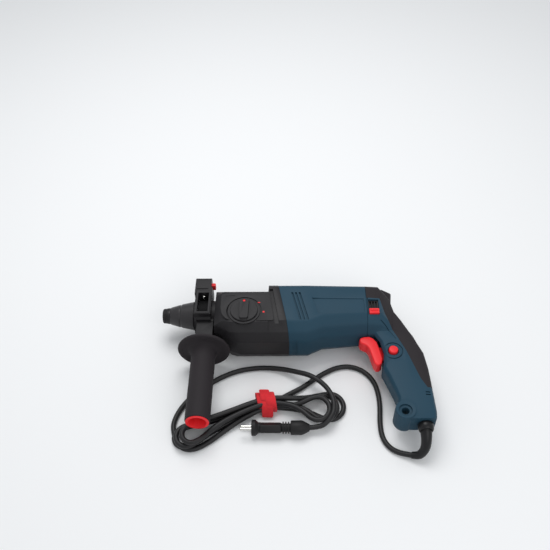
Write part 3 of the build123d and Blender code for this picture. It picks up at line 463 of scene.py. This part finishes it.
def tape(bm, line, x0, width, lean=0.21):
    """A strip of tape along a line of (y, z) points. It leans to -X as y grows."""
    rows = [[bm.verts.new((x0 + width * part / 4 - (y - STRAP_Y) * lean, y, z)) for part in range(5)]
            for y, z in line]
    for low, high in zip(rows, rows[1:]):
        for part in range(4):
            bm.faces.new((low[part], low[part + 1], high[part + 1], high[part]))


def turn_of_tape(reach, start, stop):
    """Points of a turn round the hank, from one angle to another, kept off the floor."""
    angles = [start + (stop - start) * step / 25 for step in range(26)]
    return [(STRAP_Y - reach * cos(radians(angle)), max(STRAP_Z + reach * sin(radians(angle)), FLOOR + 0.9))
            for angle in angles]


bm = bmesh.new()
tape(bm, turn_of_tape(11.9, -250, 110), 134.5, 15)
tape(bm, turn_of_tape(13.1, -70, 200), 146, 14)
tape(bm, [(-131, -17), (-127, -15.2), (-123, -14), (-119.5, -12), (-117.6, -9.6)], 139.5, 14)
tape(bm, [(-131, -17.6), (-136.5, -20.5), (-140.5, -25), (-143.5, -30), (-146.5, -34)], 142, 15.5, 0.0)
bmesh.ops.recalc_face_normals(bm, faces=bm.faces)
strap = finished("strap", bm, make_brushed_tape(), smooth=180)
wall = strap.modifiers.new("tape", "SOLIDIFY")
wall.thickness = 0.0013
wall.offset = 0
fine = strap.modifiers.new("smooth", "SUBSURF")
fine.levels = fine.render_levels = 1
fix(strap, "housing", "strap", "cord_tie")

# ---- strain relief ----
# A black rubber sleeve moulded onto the cord, and a rubber ring round it where it comes out of the foot.
# It tapers, and it bends over to the floor.
RELIEF_X = 350.5
DOWN = (0, -1, 0)
relief_curve = bpy.data.curves.new("strain_relief", "CURVE")
relief_curve.dimensions = "3D"
relief_curve.bevel_depth = 0.008
relief_curve.bevel_resolution = 8
relief_curve.use_fill_caps = True
sleeve = relief_curve.splines.new("NURBS")
RELIEF = [(RELIEF_X, -160, 0, 8), (RELIEF_X, -174, 0, 8), (350.7, -184, -2.5, 7.6), (351, -193, -9.5, 6.8),
          (349.8, -200, -18.5, 6.1), (344.5, -203.6, -27.2, 5.5), (338.6, -203.3, -30, 4.9),
          (334, -202.2, -31.1, 4.5)]          # x, y, z, radius
sleeve.points.add(len(RELIEF) - 1)
for spot, (x, y, z, radius) in zip(sleeve.points, RELIEF):
    spot.co = (x / 1000, y / 1000, z / 1000, 1)
    spot.radius = radius / 8
sleeve.order_u = 3
sleeve.use_endpoint_u = True
sleeve.resolution_u = 10
relief_rubber = moulded("relief_rubber", (0.011, 0.011, 0.012), 0.34, grain=800, height=0.03, sheen=0.25)
relief_curve.materials.append(relief_rubber)
relief = bpy.data.objects.new("strain_relief_sleeve", relief_curve)
bpy.context.collection.objects.link(relief)
fix(relief, "housing", "cord_rubber", "strain_relief")
bm = bmesh.new()
spun(bm, [(175.4, 7.4), (175.4, 9.6), (177, 10.2), (181, 10.2), (184, 9.4), (185.6, 8.2), (185.6, 7.4)],
     (RELIEF_X, 0, 0), DOWN, ALONG, 64)
relief_ring = finished("strain_relief_ring", bm, relief_rubber, 0.4, 2)
fix(relief_ring, "housing", "cord_rubber")

# ---- spindle, hammer and gears ----
# Everything inside the gear housing: hardened steel spindle and tool holder, striker, piston, wobble
# drive and gears. The parts keep the shapes they are machined to.
steel = metal("ground_steel", (0.56, 0.55, 0.54), 0.28)
dark_steel = metal("blackened_steel", (0.045, 0.044, 0.045), 0.42)
aluminium = metal("turned_aluminium", (0.72, 0.72, 0.73), 0.34)
copper = metal("copper_winding", (0.72, 0.30, 0.14), 0.38, 0.06)
core_steel = metal("core_plates", (0.34, 0.34, 0.35), 0.45, 0.08)
teal_plastic = moulded("teal_housing", (0.018, 0.053, 0.083), 0.52, change=0.12, specks=0.02,
                       height=0.035, sheen=0.16)
black_plastic = moulded("black_housing", (0.013, 0.012, 0.0135), 0.5, change=0.3, specks=0.05,
                        height=0.07, sheen=0.28)
grip_rubber = moulded("grip_rubber", (0.021, 0.0175, 0.020), 0.72, change=0.2, grain=1100,
                      height=0.12, sheen=0.25)
red_plastic = moulded("red_plastic", (0.80, 0.022, 0.028), 0.4, change=0.08, height=0.02, sheen=0.28)
carbon = moulded("carbon_block", (0.02, 0.02, 0.022), 0.55)
seal_rubber = moulded("seal_rubber", (0.011, 0.0105, 0.011), 0.5, sheen=0.25)
chuck_black = moulded("chuck_black", (0.026, 0.024, 0.026), 0.4, change=0.25, specks=0.03,
                      height=0.05, sheen=0.35)
FINISHES = {"steel": steel, "dark_steel": dark_steel, "aluminium": aluminium, "copper": copper,
            "core_steel": core_steel, "teal_plastic": teal_plastic, "black_plastic": black_plastic,
            "soft_rubber": grip_rubber, "red_plastic": red_plastic, "carbon": carbon,
            "seal_rubber": seal_rubber, "cord_rubber": cord_rubber, "chrome": pin_plating,
            "strap": strap.data.materials[0]}
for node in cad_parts.values():
    slots = [s.material.name if s.material else "" for s in node.material_slots]
    for index, name in enumerate(slots):
        for finish, material in FINISHES.items():
            if name == finish or name.startswith(finish + "."):
                node.material_slots[index].material = material

# Two parts that show are darker than their finish says: the ring that stops the sleeve, and the band that
# clamps the collar. The band's near black is painted shade, standing for the dark inside the collar's window.
band_painted_shade = moulded("band_painted_shade", (0.004, 0.004, 0.0045), 0.6, sheen=0.1)
for node, material in (("sleeve_stop_ring", dark_steel), ("clamp_band", band_painted_shade)):
    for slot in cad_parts[node].material_slots:
        slot.material = material

# ---- dust cap ----
# The soft black rubber cap pushed over the nose of the tool holder. Its lip closes on the bit's shank and
# keeps the dust out.
bm = bmesh.new()
spun(bm, [(-2, 5.9), (-2, 9.3), (-1.2, 10.3), (2.2, 10.8), (2.5, 10.4), (3.3, 10.5), (3.6, 11.1), (8.4, 11.5),
          (8.4, 9.7), (0, 9.6), (0, 5.9)], (0, 0, 0), ALONG, UPWARDS)
dust_cap = finished("dust_cap_rubber", bm, seal_rubber, 0.35, 2)
fix(dust_cap, "spindle", "seal_rubber", "dust_cap")

# ---- locking sleeve ----
# The sliding sleeve that frees the bit, moulded in black plastic: a cone that widens to the collar, with
# one turned ring round it.
bm = bmesh.new()
spun(bm, [(8.8, 9.8), (8.8, 11.6), (9.6, 12.4), (22.4, 16.1), (23.1, 15.6), (24.9, 16.1), (25.5, 16.95),
          (43, 20.45), (44.5, 19.5), (44.5, 14.2), (26, 14.2), (26, 10.8), (19.5, 10.8), (18.4, 11.9),
          (12, 11.9), (12, 9.8)], (0, 0, 0), ALONG, UPWARDS, 96)
locking_sleeve = finished("locking_sleeve_shell", bm, chuck_black, 0.5, 3)
fix(locking_sleeve, "sleeve", "black_plastic", "locking_sleeve")


# ---- side-handle collar ----
# The glass-filled collar that clamps the housing's neck. It has an oblong window on each side, a hole
# for the depth rod in its top block, and a slot under the window.
def copied(node, name, material, weld=0.02):
    """A new piece with the shape of a CAD node, with its triangles joined up into whole faces."""
    bm = bmesh.new()
    bm.from_mesh(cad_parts[node].data)
    bmesh.ops.scale(bm, vec=(1000, 1000, 1000), verts=bm.verts)
    bmesh.ops.remove_doubles(bm, verts=bm.verts, dist=weld)
    bmesh.ops.dissolve_limit(bm, angle_limit=radians(1), verts=bm.verts, edges=bm.edges)
    return finished(name, bm, material)


def cutter(outline, z0, z1):
    bm = bmesh.new()
    prism(bm, outline, z0, z1)
    return finished("cutter", bm, None)


def round_cutter(profile, centre, axis, across, steps=48):
    bm = bmesh.new()
    spun(bm, profile, centre, axis, across, steps)
    return finished("cutter", bm, None)


collar = copied("collar_body", "collar_shell", black_plastic)
for low, high in ((14.2, 30), (-30, -14.2)):
    shape(collar, cutter(box_outline(49, 75, -23.6, -21.8), low, high))
for y in (27.5, 31, 34.5):
    shape(collar, cutter(box_outline(46, 63, y - 0.5, y + 0.5), 21.4, 30))
round_edges(collar, 0.9, 3)
fix(collar, "collar", "black_plastic", "collar_body")
for side, name in ((1, "collar_rim_left"), (-1, "collar_rim_right")):
    bm = bmesh.new()
    prism(bm, box_outline(47, 68, -18.2, 23.6), *sorted((side * 28.5, side * 30)))
    rim = finished(name, bm, black_plastic)
    shape(rim, cutter(box_outline(50, 65, -15, 19), -40, 40))
    round_edges(rim, 0.5, 2)
    fix(rim, "collar", "black_plastic")
bm = bmesh.new()
spun(bm, [(20, 0), (20, 1.6), (25, 1.6), (25.4, 1.2), (25.4, 0)], (57.5, 16, 0), UPWARDS, ALONG, 32)
collar_stud = finished("collar_window_stud", bm, pin_plating, 0.3, 2)
fix(collar_stud, "collar", "chrome")

# ---- depth-stop button ----
# The red plastic button behind the collar's top block. It is pressed towards the bit, into the block, and
# that frees the depth rod.
bm = bmesh.new()
prism(bm, box_outline(58, 71.5, 44, 50), 5, 15)
depth_button = finished("depth_stop_key", bm, red_plastic, 1.2, 4)
fix(depth_button, "stop_button", "red_plastic", "depth_stop_button")


# ---- gear housing ----
# The black front housing. Its sides are flat, its corners are cut off, and its nose narrows to the
# round neck that carries the collar. It ends in a raised band along the slanted seam.
def mirrored(half):
    return half + [(y, -z) for y, z in reversed(half)]


HALF_WIDTH, BELLY = 38, 58
KNOB = (117, -22, 0)                          # the mode knob's axis
GEAR_SECTION = mirrored([(33, 10), (24, 25), (13, HALF_WIDTH), (-40, HALF_WIDTH), (-51, 28), (-BELLY, 14)])
BAND_SECTION = mirrored([(38, 18), (28, 34), (22, HALF_WIDTH), (-38, HALF_WIDTH), (-51, 28), (-BELLY, 14)])
WAIST_SECTION = mirrored([(38, 18), (29, 32), (22, 36), (-27, 36), (-41, 27), (-49, 12)])
REAR_SECTION = mirrored([(37, 18), (29, 30), (23, 34.5), (-22, 34.5), (-35, 26), (-43.5, 12)])


SEAM_GAP = 0.1                                # left on each side of the seam


def seam_x(y, ahead):
    """Where the slanted seam between the housings is at y, moved ahead towards the bit."""
    return 162 + (38 - y) * 0.177 - ahead


def between(x, table):
    """Value at x from a table of (x, value) pairs."""
    for (x0, value0), (x1, value1) in zip(table, table[1:]):
        if x <= x1:
            return value0 + (value1 - value0) * max(0.0, x - x0) / (x1 - x0)
    return table[-1][1]


def nose_section(x):
    """Gear housing section at x, kept inside the cone of the nose."""
    top = between(x, [(75, 30), (81, 33)])
    bottom = between(x, [(75, -43), (97, -52), (112, -58)])
    half = between(x, [(75, 27), (87, 38)])
    reach = between(x, [(75, 43.5), (79.5, 43.5), (97.5, 56.3), (105, 62), (151, 90)])
    spots = []
    for y, z in GEAR_SECTION:
        y = min(top, max(bottom, y))
        z = max(-half, min(half, z))
        size = min(1.0, reach / hypot(y, z))
        spots.append((x, y * size, z * size))
    return spots


def lofted(rings, widths, segments=4, first_face=False, last_face=False):
    """Skin over closed rings of points. widths gives how much each long edge is rounded."""
    bm = bmesh.new()
    made = []
    for ring in rings:
        spots = [bm.verts.new(p) for p in ring]
        made.append((spots, [bm.edges.new((spots[i - 1], spots[i])) for i in range(len(spots))]))
    for (_, low), (_, high) in zip(made, made[1:]):
        bmesh.ops.bridge_loops(bm, edges=low + high)
    if first_face:
        bm.faces.new(made[0][0])
    if last_face:
        bm.faces.new(made[-1][0])
    bmesh.ops.recalc_face_normals(bm, faces=bm.faces)
    by_width = {}
    for (low, _), (high, _) in zip(made, made[1:]):
        for index, width in enumerate(widths):
            edge = bm.edges.get((low[index], high[index]))
            if edge and width:
                by_width.setdefault(width, []).append(edge)
    for width, edges in by_width.items():
        edges = [e for e in edges if e.is_valid]
        bmesh.ops.bevel(bm, geom=edges, offset=width, offset_type="OFFSET", segments=segments, profile=0.5,
                        affect="EDGES", material=-1, clamp_overlap=True)
    return bm


def walled(body, thickness):
    wall = body.modifiers.new("wall", "SOLIDIFY")
    wall.thickness = thickness / 1000
    wall.offset = -1
    wall.use_even_offset = True
    return wall


rings = [nose_section(x) for x in (75, 78, 81.5, 87, 97, 105, 112, 130, 150)]
rings.append([(150.6, y, z) for y, z in BAND_SECTION])
rings.append([(seam_x(y, SEAM_GAP), y, z) for y, z in BAND_SECTION])
bm = lofted(rings, [3] * 12, 4, first_face=True)
gear_case = finished("gear_case", bm, black_plastic)
walled(gear_case, 3)
shape(gear_case, round_cutter([(60, 0), (60, 21.3), (90, 21.3), (90, 0)], (0, 0, 0), ALONG, UPWARDS))
shape(gear_case, cutter([(151.6, 18), (156.4, 18), (165.4, -42), (159.4, -42)], 35.3, 45))
shape(gear_case, round_cutter([(30, 0), (30, 8.4), (45, 8.4), (45, 0)], KNOB, UPWARDS, ALONG))
round_edges(gear_case, 0.5, 2)
fix(gear_case, "housing", "black_plastic", "gear_housing")
bm = bmesh.new()
spun(bm, [(50.5, 18.6), (50.5, 21.2), (51, 21.5), (76.5, 21.5), (76.5, 18.6)], (0, 0, 0), ALONG, UPWARDS)
neck = finished("gear_case_neck", bm, black_plastic)
fix(neck, "housing", "black_plastic")


def uprights(bm):
    """The edges of a prism that stand along Z."""
    return [e for e in bm.edges if abs(e.verts[0].co.z - e.verts[1].co.z) > 1]


# The raised side plate round the mode knob, with its ring and its two small red marks.
PLATE = [(84.5, 9), (151.2, 11), (158.6, -38.5), (104, -39.5), (93, -36), (86.5, -28), (84, -17)]
bm = bmesh.new()
prism(bm, PLATE, 37.2, 39.1)
soften(bm, uprights(bm), 3)
side_plate = finished("gear_case_side_plate", bm, black_plastic)
shape(side_plate, round_cutter([(30, 0), (30, 24.2), (45, 24.2), (45, 0)], KNOB, UPWARDS, ALONG, 96))
shape(side_plate, cutter([(90, 4.3), (103, 4.9), (103, 5.7), (90, 5.1)], 38.6, 42))
round_edges(side_plate, 0.45, 3)
fix(side_plate, "housing", "black_plastic")
bm = bmesh.new()
spun(bm, [(37, 8.4), (37, 22.5), (39.2, 22.5), (39.5, 22.2), (39.5, 8.4)], KNOB, UPWARDS, ALONG, 96)
dial = finished("gear_case_dial", bm, black_plastic, 0.2, 2)
fix(dial, "housing", "black_plastic")
bm = bmesh.new()
for x, y, width, height in ((137.4, -7.4, 3.4, 1.3), (144, -24, 2.6, 2.6)):
    prism(bm, box_outline(x - width / 2, x + width / 2, y - height / 2, y + height / 2), 38.9, 39.22)
marks = finished("mode_marks", bm, red_plastic, 0.08, 1)
fix(marks, "housing", "red_plastic")

# ---- mode knob ----
# A round black knob with a raised bar across it, for hammering, drilling or both. A red drop on the bar
# shows the mode. It turns on the side plate.
POINTER = (117, -8.4, 0)
bm = bmesh.new()
spun(bm, [(39.8, 0), (39.8, 18.4), (40.2, 19), (41.2, 19), (41.8, 18.3), (41.8, 0)], KNOB, UPWARDS, ALONG, 96)
knob = finished("mode_knob_disc", bm, black_plastic)
bm = bmesh.new()
bar_top = prism(bm, [(110.8, -39.6), (109.6, -4.9), (124.4, -4.9), (123.2, -39.6)], 40.5, 45)[4:]
bmesh.ops.scale(bm, verts=bar_top, vec=(0.9, 0.93, 1), space=Matrix.Translation((-117, 22, 0)))
soften(bm, uprights(bm), 2.5)
shape(knob, finished("bar", bm, None), "UNION")
shape(knob, round_cutter([(44.2, 0), (44.2, 1.9), (46, 1.9), (46, 0)], POINTER, UPWARDS, ALONG, 32))
bm = bmesh.new()
spun(bm, [(30, 0), (30, 8), (40.2, 8), (40.2, 0)], KNOB, UPWARDS, ALONG, 48)
shape(knob, finished("stem", bm, None), "UNION")
round_edges(knob, 0.6, 3)
fix(knob, "mode_knob", "black_plastic", "mode_knob")
bm = bmesh.new()
spun(bm, [(44.0, 0), (44.0, 1.75), (44.7, 1.75), (45.0, 1.3), (45.1, 0)], POINTER, UPWARDS, ALONG, 32)
pointer = finished("mode_pointer", bm, red_plastic)
fix(pointer, "mode_knob", "red_plastic")

# ---- motor housing ----
# The teal barrel round the motor. It starts at the slanted seam, its lower bulge ends in a chamfer, and
# it has three slanted grooves near the seam and a plain sunk panel on the side.
rings = [[(seam_x(y, -SEAM_GAP), y, z) for y, z in BAND_SECTION], [(205, y, z) for y, z in BAND_SECTION],
         [(225, y, z) for y, z in WAIST_SECTION], [(287.2, y, z) for y, z in REAR_SECTION]]
bm = lofted(rings, [3.4] * 12, 4)
motor_case = finished("motor_case", bm, teal_plastic)
walled(motor_case, 3)
for start in (182.3, 187.4, 192.6):
    groove = [(start, 12), (start + 2.6, 12), (start + 13.7, -36.5), (start + 10.8, -36.5)]
    shape(motor_case, cutter(groove, 35.7, 45))
PANEL = 35.1                                  # the sunk panel's level where the side starts to slope in
badge = cutter([(211.5, 2.5), (284, 2.5), (284, -21.5), (219, -25)], PANEL, 45)
for v in badge.data.vertices:
    if v.co.z < 0.04:
        v.co.z = (PANEL - (v.co.x * 1000 - 225) * 1.5 / 62) / 1000      # it follows the slope
shape(motor_case, badge)
shape(motor_case, cutter(box_outline(184, 190, -60, -56.6), -17, 17))
round_edges(motor_case, 0.45, 3)
fix(motor_case, "housing", "teal_plastic", "motor_housing")

# ---- main handle ----
# Two teal half shells screwed together. The head carries on the motor housing, and the hollow grip runs
# down to a foot with a lanyard eye in it. The grip's back is covered with soft rubber.
EYE = (325, -165, 0)            # lanyard eye
BUTTON = (319, -74, 0)          # lock button
BLEND_SECTION = mirrored([(36, 18), (28, 29.5), (22, 33.5), (-24, 33.5), (-36, 25), (-44, 12)])
NEAR_BACK = mirrored([(29.5, 14), (23, 22), (17.5, 25.5), (-30, 25.5), (-39, 20), (-46, 11)])
BACK_SECTION = mirrored([(20, 9), (17, 13), (12, 16.5), (-38, 16.5), (-44, 13), (-50, 8)])
rings = [[(287.6, y, z) for y, z in REAR_SECTION], [(306, y, z) for y, z in BLEND_SECTION],
         [(315, y, z) for y, z in NEAR_BACK], [(324, y, z) for y, z in BACK_SECTION]]
bm = lofted(rings, [3.4] * 12, 4, first_face=True, last_face=True)
handle = finished("handle_body", bm, teal_plastic)

# (front x, front y, back x, back y, half thickness) of the grip, from the head to the foot
STATIONS = [(289, 30, 316, 37.4, 14), (290, 20, 327.5, 30, 15), (290, 8, 325.3, 12, 16),
            (290, -8, 328.3, -4, 17), (290.5, -20, 337, -20, 17), (293, -36, 344.5, -36.5, 17),
            (297, -45.5, 350, -47, 17), (303, -56, 354.5, -60, 17), (306.4, -75, 360.6, -75, 17),
            (304.6, -90, 362.6, -91, 17), (303, -98, 363.7, -101, 17), (309, -114, 364.2, -116, 17),
            (315, -132, 364.6, -133, 16.5), (318.3, -144, 364.9, -146, 16.5),
            (316.4, -154, 365.2, -157, 16.5), (314.2, -162, 365.4, -165.5, 16.5),
            (318, -169.5, 364.6, -171.5, 16), (326.5, -175.6, 363, -175.2, 15)]
ROUND = [(1, 0), (1, 0.45), (0.97, 0.72), (0.86, 0.92), (0.6, 1), (0, 1)]
quarter = ROUND + [(-a, b) for a, b in reversed(ROUND[:-1])]
loop = quarter + [(a, -b) for a, b in reversed(quarter[1:-1])]
rings = []
for front_x, front_y, back_x, back_y, half in STATIONS:
    middle = Vector(((front_x + back_x) / 2, (front_y + back_y) / 2, 0))
    reach = Vector(((back_x - front_x) / 2, (back_y - front_y) / 2, 0))
    rings.append([middle + reach * a + Vector((0, 0, half * b)) for a, b in loop])
bm = lofted(rings, [0] * len(loop), first_face=True, last_face=True)
grip = finished("grip", bm, teal_plastic)
shape(handle, grip, "UNION")
shape(handle, round_cutter([(-17, 0), (-17, 12.6), (-15, 13.4), (15, 13.4), (17, 12.6), (17, 0)],
                           (325.5, -163.5, 0), UPWARDS, ALONG, 64), "UNION")
shape(handle, round_cutter([(-30, 0), (-30, 5), (30, 5), (30, 0)], EYE, UPWARDS, ALONG, 48))
shape(handle, round_cutter([(14.6, 0), (14.6, 8.6), (30, 8.6), (30, 0)], EYE, UPWARDS, ALONG, 48))
shape(handle, cutter(box_outline(284, 314, -97, -43.6), -9.9, 9.9))
shape(handle, round_cutter([(-190, 0), (-190, 8.1), (-160, 8.1), (-160, 0)], (RELIEF_X, 0, 0),
                           (0, 1, 0), ALONG))

SOFT_ZONE = [(286, 60), (400, 60), (400, -131), (357, -131), (350, -118), (336.5, -74), (326.5, -50),
             (311.5, -18), (306, 3.5), (286, 4.5)]
soft_grip = handle.copy()
soft_grip.data = handle.data.copy()
soft_grip.name = "soft_grip_cover"
bpy.context.collection.objects.link(soft_grip)
shape(soft_grip, cutter(SOFT_ZONE, -60, 60), "INTERSECT")
shape(handle, cutter(SOFT_ZONE, -60, 60))
soft_grip.data.materials.clear()
soft_grip.data.materials.append(grip_rubber)
fix(soft_grip, "housing", "soft_rubber", "soft_grip")


def score(line, width, z0, z1):
    """Outline of a narrow band along a line of side-view points."""
    left, right = [], []
    for index, (x, y) in enumerate(line):
        before, after = line[max(0, index - 1)], line[min(len(line) - 1, index + 1)]
        way = Vector((after[0] - before[0], after[1] - before[1])).normalized() * width / 2
        left.append((x - way.y, y + way.x))
        right.append((x + way.y, y - way.x))
    return cutter(left + right[::-1], z0, z1)


shape(handle, cutter(box_outline(289.6, 304, -24.5, 1.5), 26, 60))
shape(handle, score([(288.9, 14), (288.9, -28), (298, -29.5), (308, -33), (316, -40), (322, -49), (326, -58)],
                    1.0, 32.6, 60))
shape(handle, score([(305, -30.8), (312, -36), (319, -44), (324.5, -54)], 1.0, 16.3, 33))
shape(handle, round_cutter([(15.4, 11.9), (15.4, 13.3), (30, 13.3), (30, 11.9)], BUTTON, UPWARDS, ALONG, 64))
shape(handle, round_cutter([(12.5, 0), (12.5, 7.4), (30, 7.4), (30, 0)], BUTTON, UPWARDS, ALONG, 64))
for y in (-138.2, -142):
    shape(handle, cutter(box_outline(353.5, 359.5, y - 0.9, y + 0.9), 12, 30))
round_edges(handle, 0.5, 2, 38)
fix(handle, "housing", "teal_plastic", "handle_left", "handle_right")
round_edges(soft_grip, 0.6, 2, 38)

# ---- vent grille and reversing slider ----
# A black plastic plate with three slots, set in a window of the handle to let the air in. The red slider
# below the slots reverses the motor.
bm = bmesh.new()
prism(bm, box_outline(289.8, 303.8, -24.3, 1.3), 26.6, 31)
grille = finished("vent_slats", bm, black_plastic)
for x in (292.9, 296.8, 300.7):
    shape(grille, cutter(box_outline(x - 1.2, x + 1.2, -15, 0), 28, 40))
round_edges(grille, 0.3, 2)
fix(grille, "housing", "black_plastic", "vent_grille")
bm = bmesh.new()
prism(bm, box_outline(289.9, 303.6, -24.1, -15.6), 31.3, 36)
soften(bm, bm.edges[:], 0.8, 3)
slider = finished("reversing_slider_key", bm, red_plastic)
shape(slider, cutter(box_outline(291.5, 302, -20.3, -19.5), 35.4, 40))
fix(slider, "reversing_slider", "red_plastic", "reversing_slider")

# ---- trigger and lock button ----
# Both are red plastic. The trigger slides back into the grip and turns its nose over the finger, and the
# round button behind it holds it in.
TRIGGER = [(275.8, -50.5), (277.5, -47), (282, -45), (289.6, -44.4), (294.5, -47), (299.5, -53.5),
           (302.3, -66), (305, -82), (303.2, -89), (300, -91.6), (295.8, -91.6), (293.2, -88), (291, -78),
           (288, -65), (285.5, -60), (281.5, -57.5), (277.5, -55.5)]
bm = bmesh.new()
prism(bm, TRIGGER, -9.5, 9.5)
flat = [e for e in bm.edges if abs(e.verts[0].co.z - e.verts[1].co.z) < 0.1]
soften(bm, flat, 2.2)
trigger = finished("trigger_lever", bm, red_plastic, smooth=50)
shape(trigger, cutter(box_outline(298, 323, -80, -60), -4, 4), "UNION")
fix(trigger, "trigger", "red_plastic", "trigger")
bm = bmesh.new()
spun(bm, [(9, 0), (9, 1.9), (14, 1.9), (14, 6.2), (19.6, 6.2), (20.6, 5.4), (21, 3), (21, 0)], BUTTON,
     UPWARDS, ALONG, 64)
lock_button = finished("lock_button_cap", bm, red_plastic, 0.25, 2)
fix(lock_button, "lock_button", "red_plastic", "lock_button")

# ---- side handle ----
# A round guard disc and a straight grip of black rubber over a core, on the collar's stud. Its open end
# is lined with a red cup that has a small three-cornered hole.
GRIP_AXIS = (61, 0, 0)
bm = bmesh.new()
spun(bm, [(57, 4.3), (57, 33.5), (57.8, 35), (59.2, 36), (60.6, 36), (61.8, 35), (62.2, 33), (61.6, 29),
          (61.4, 24), (62.2, 21.2), (64, 19.2), (67, 17.9), (71, 17.1), (77, 16.6), (110, 16.5), (170, 16.5),
          (171.4, 16.1), (172, 15.2), (172, 13.6), (131.6, 13.6), (131.6, 9), (104, 9), (104, 4.3)],
     GRIP_AXIS, DOWN, ALONG, 96)
side_grip = finished("side_grip_cover", bm, grip_rubber, 0.3, 2, smooth=60)
fix(side_grip, "side_grip", "soft_rubber", "side_grip")
bm = bmesh.new()
spun(bm, [(132.1, 0), (132.1, 13.4), (171.8, 13.5), (172.1, 15.1), (172.7, 15.3), (173.4, 14.9),
          (173.4, 12.2), (172.6, 11.7), (134, 11.6), (134, 0)], GRIP_AXIS, DOWN, ALONG, 96)
cup = finished("grip_cup_liner", bm, red_plastic)
hole = cutter([(-3.4, 0), (3.4, 0), (0, 6.2)], 8, 20)
for v in hole.data.vertices:
    v.co = Matrix.Rotation(radians(-138), 4, "Y") @ v.co
    v.co += Vector((0.061, -0.158, 0))
shape(cup, hole)
round_edges(cup, 0.3, 2)
fix(cup, "side_grip", "red_plastic", "grip_cup")
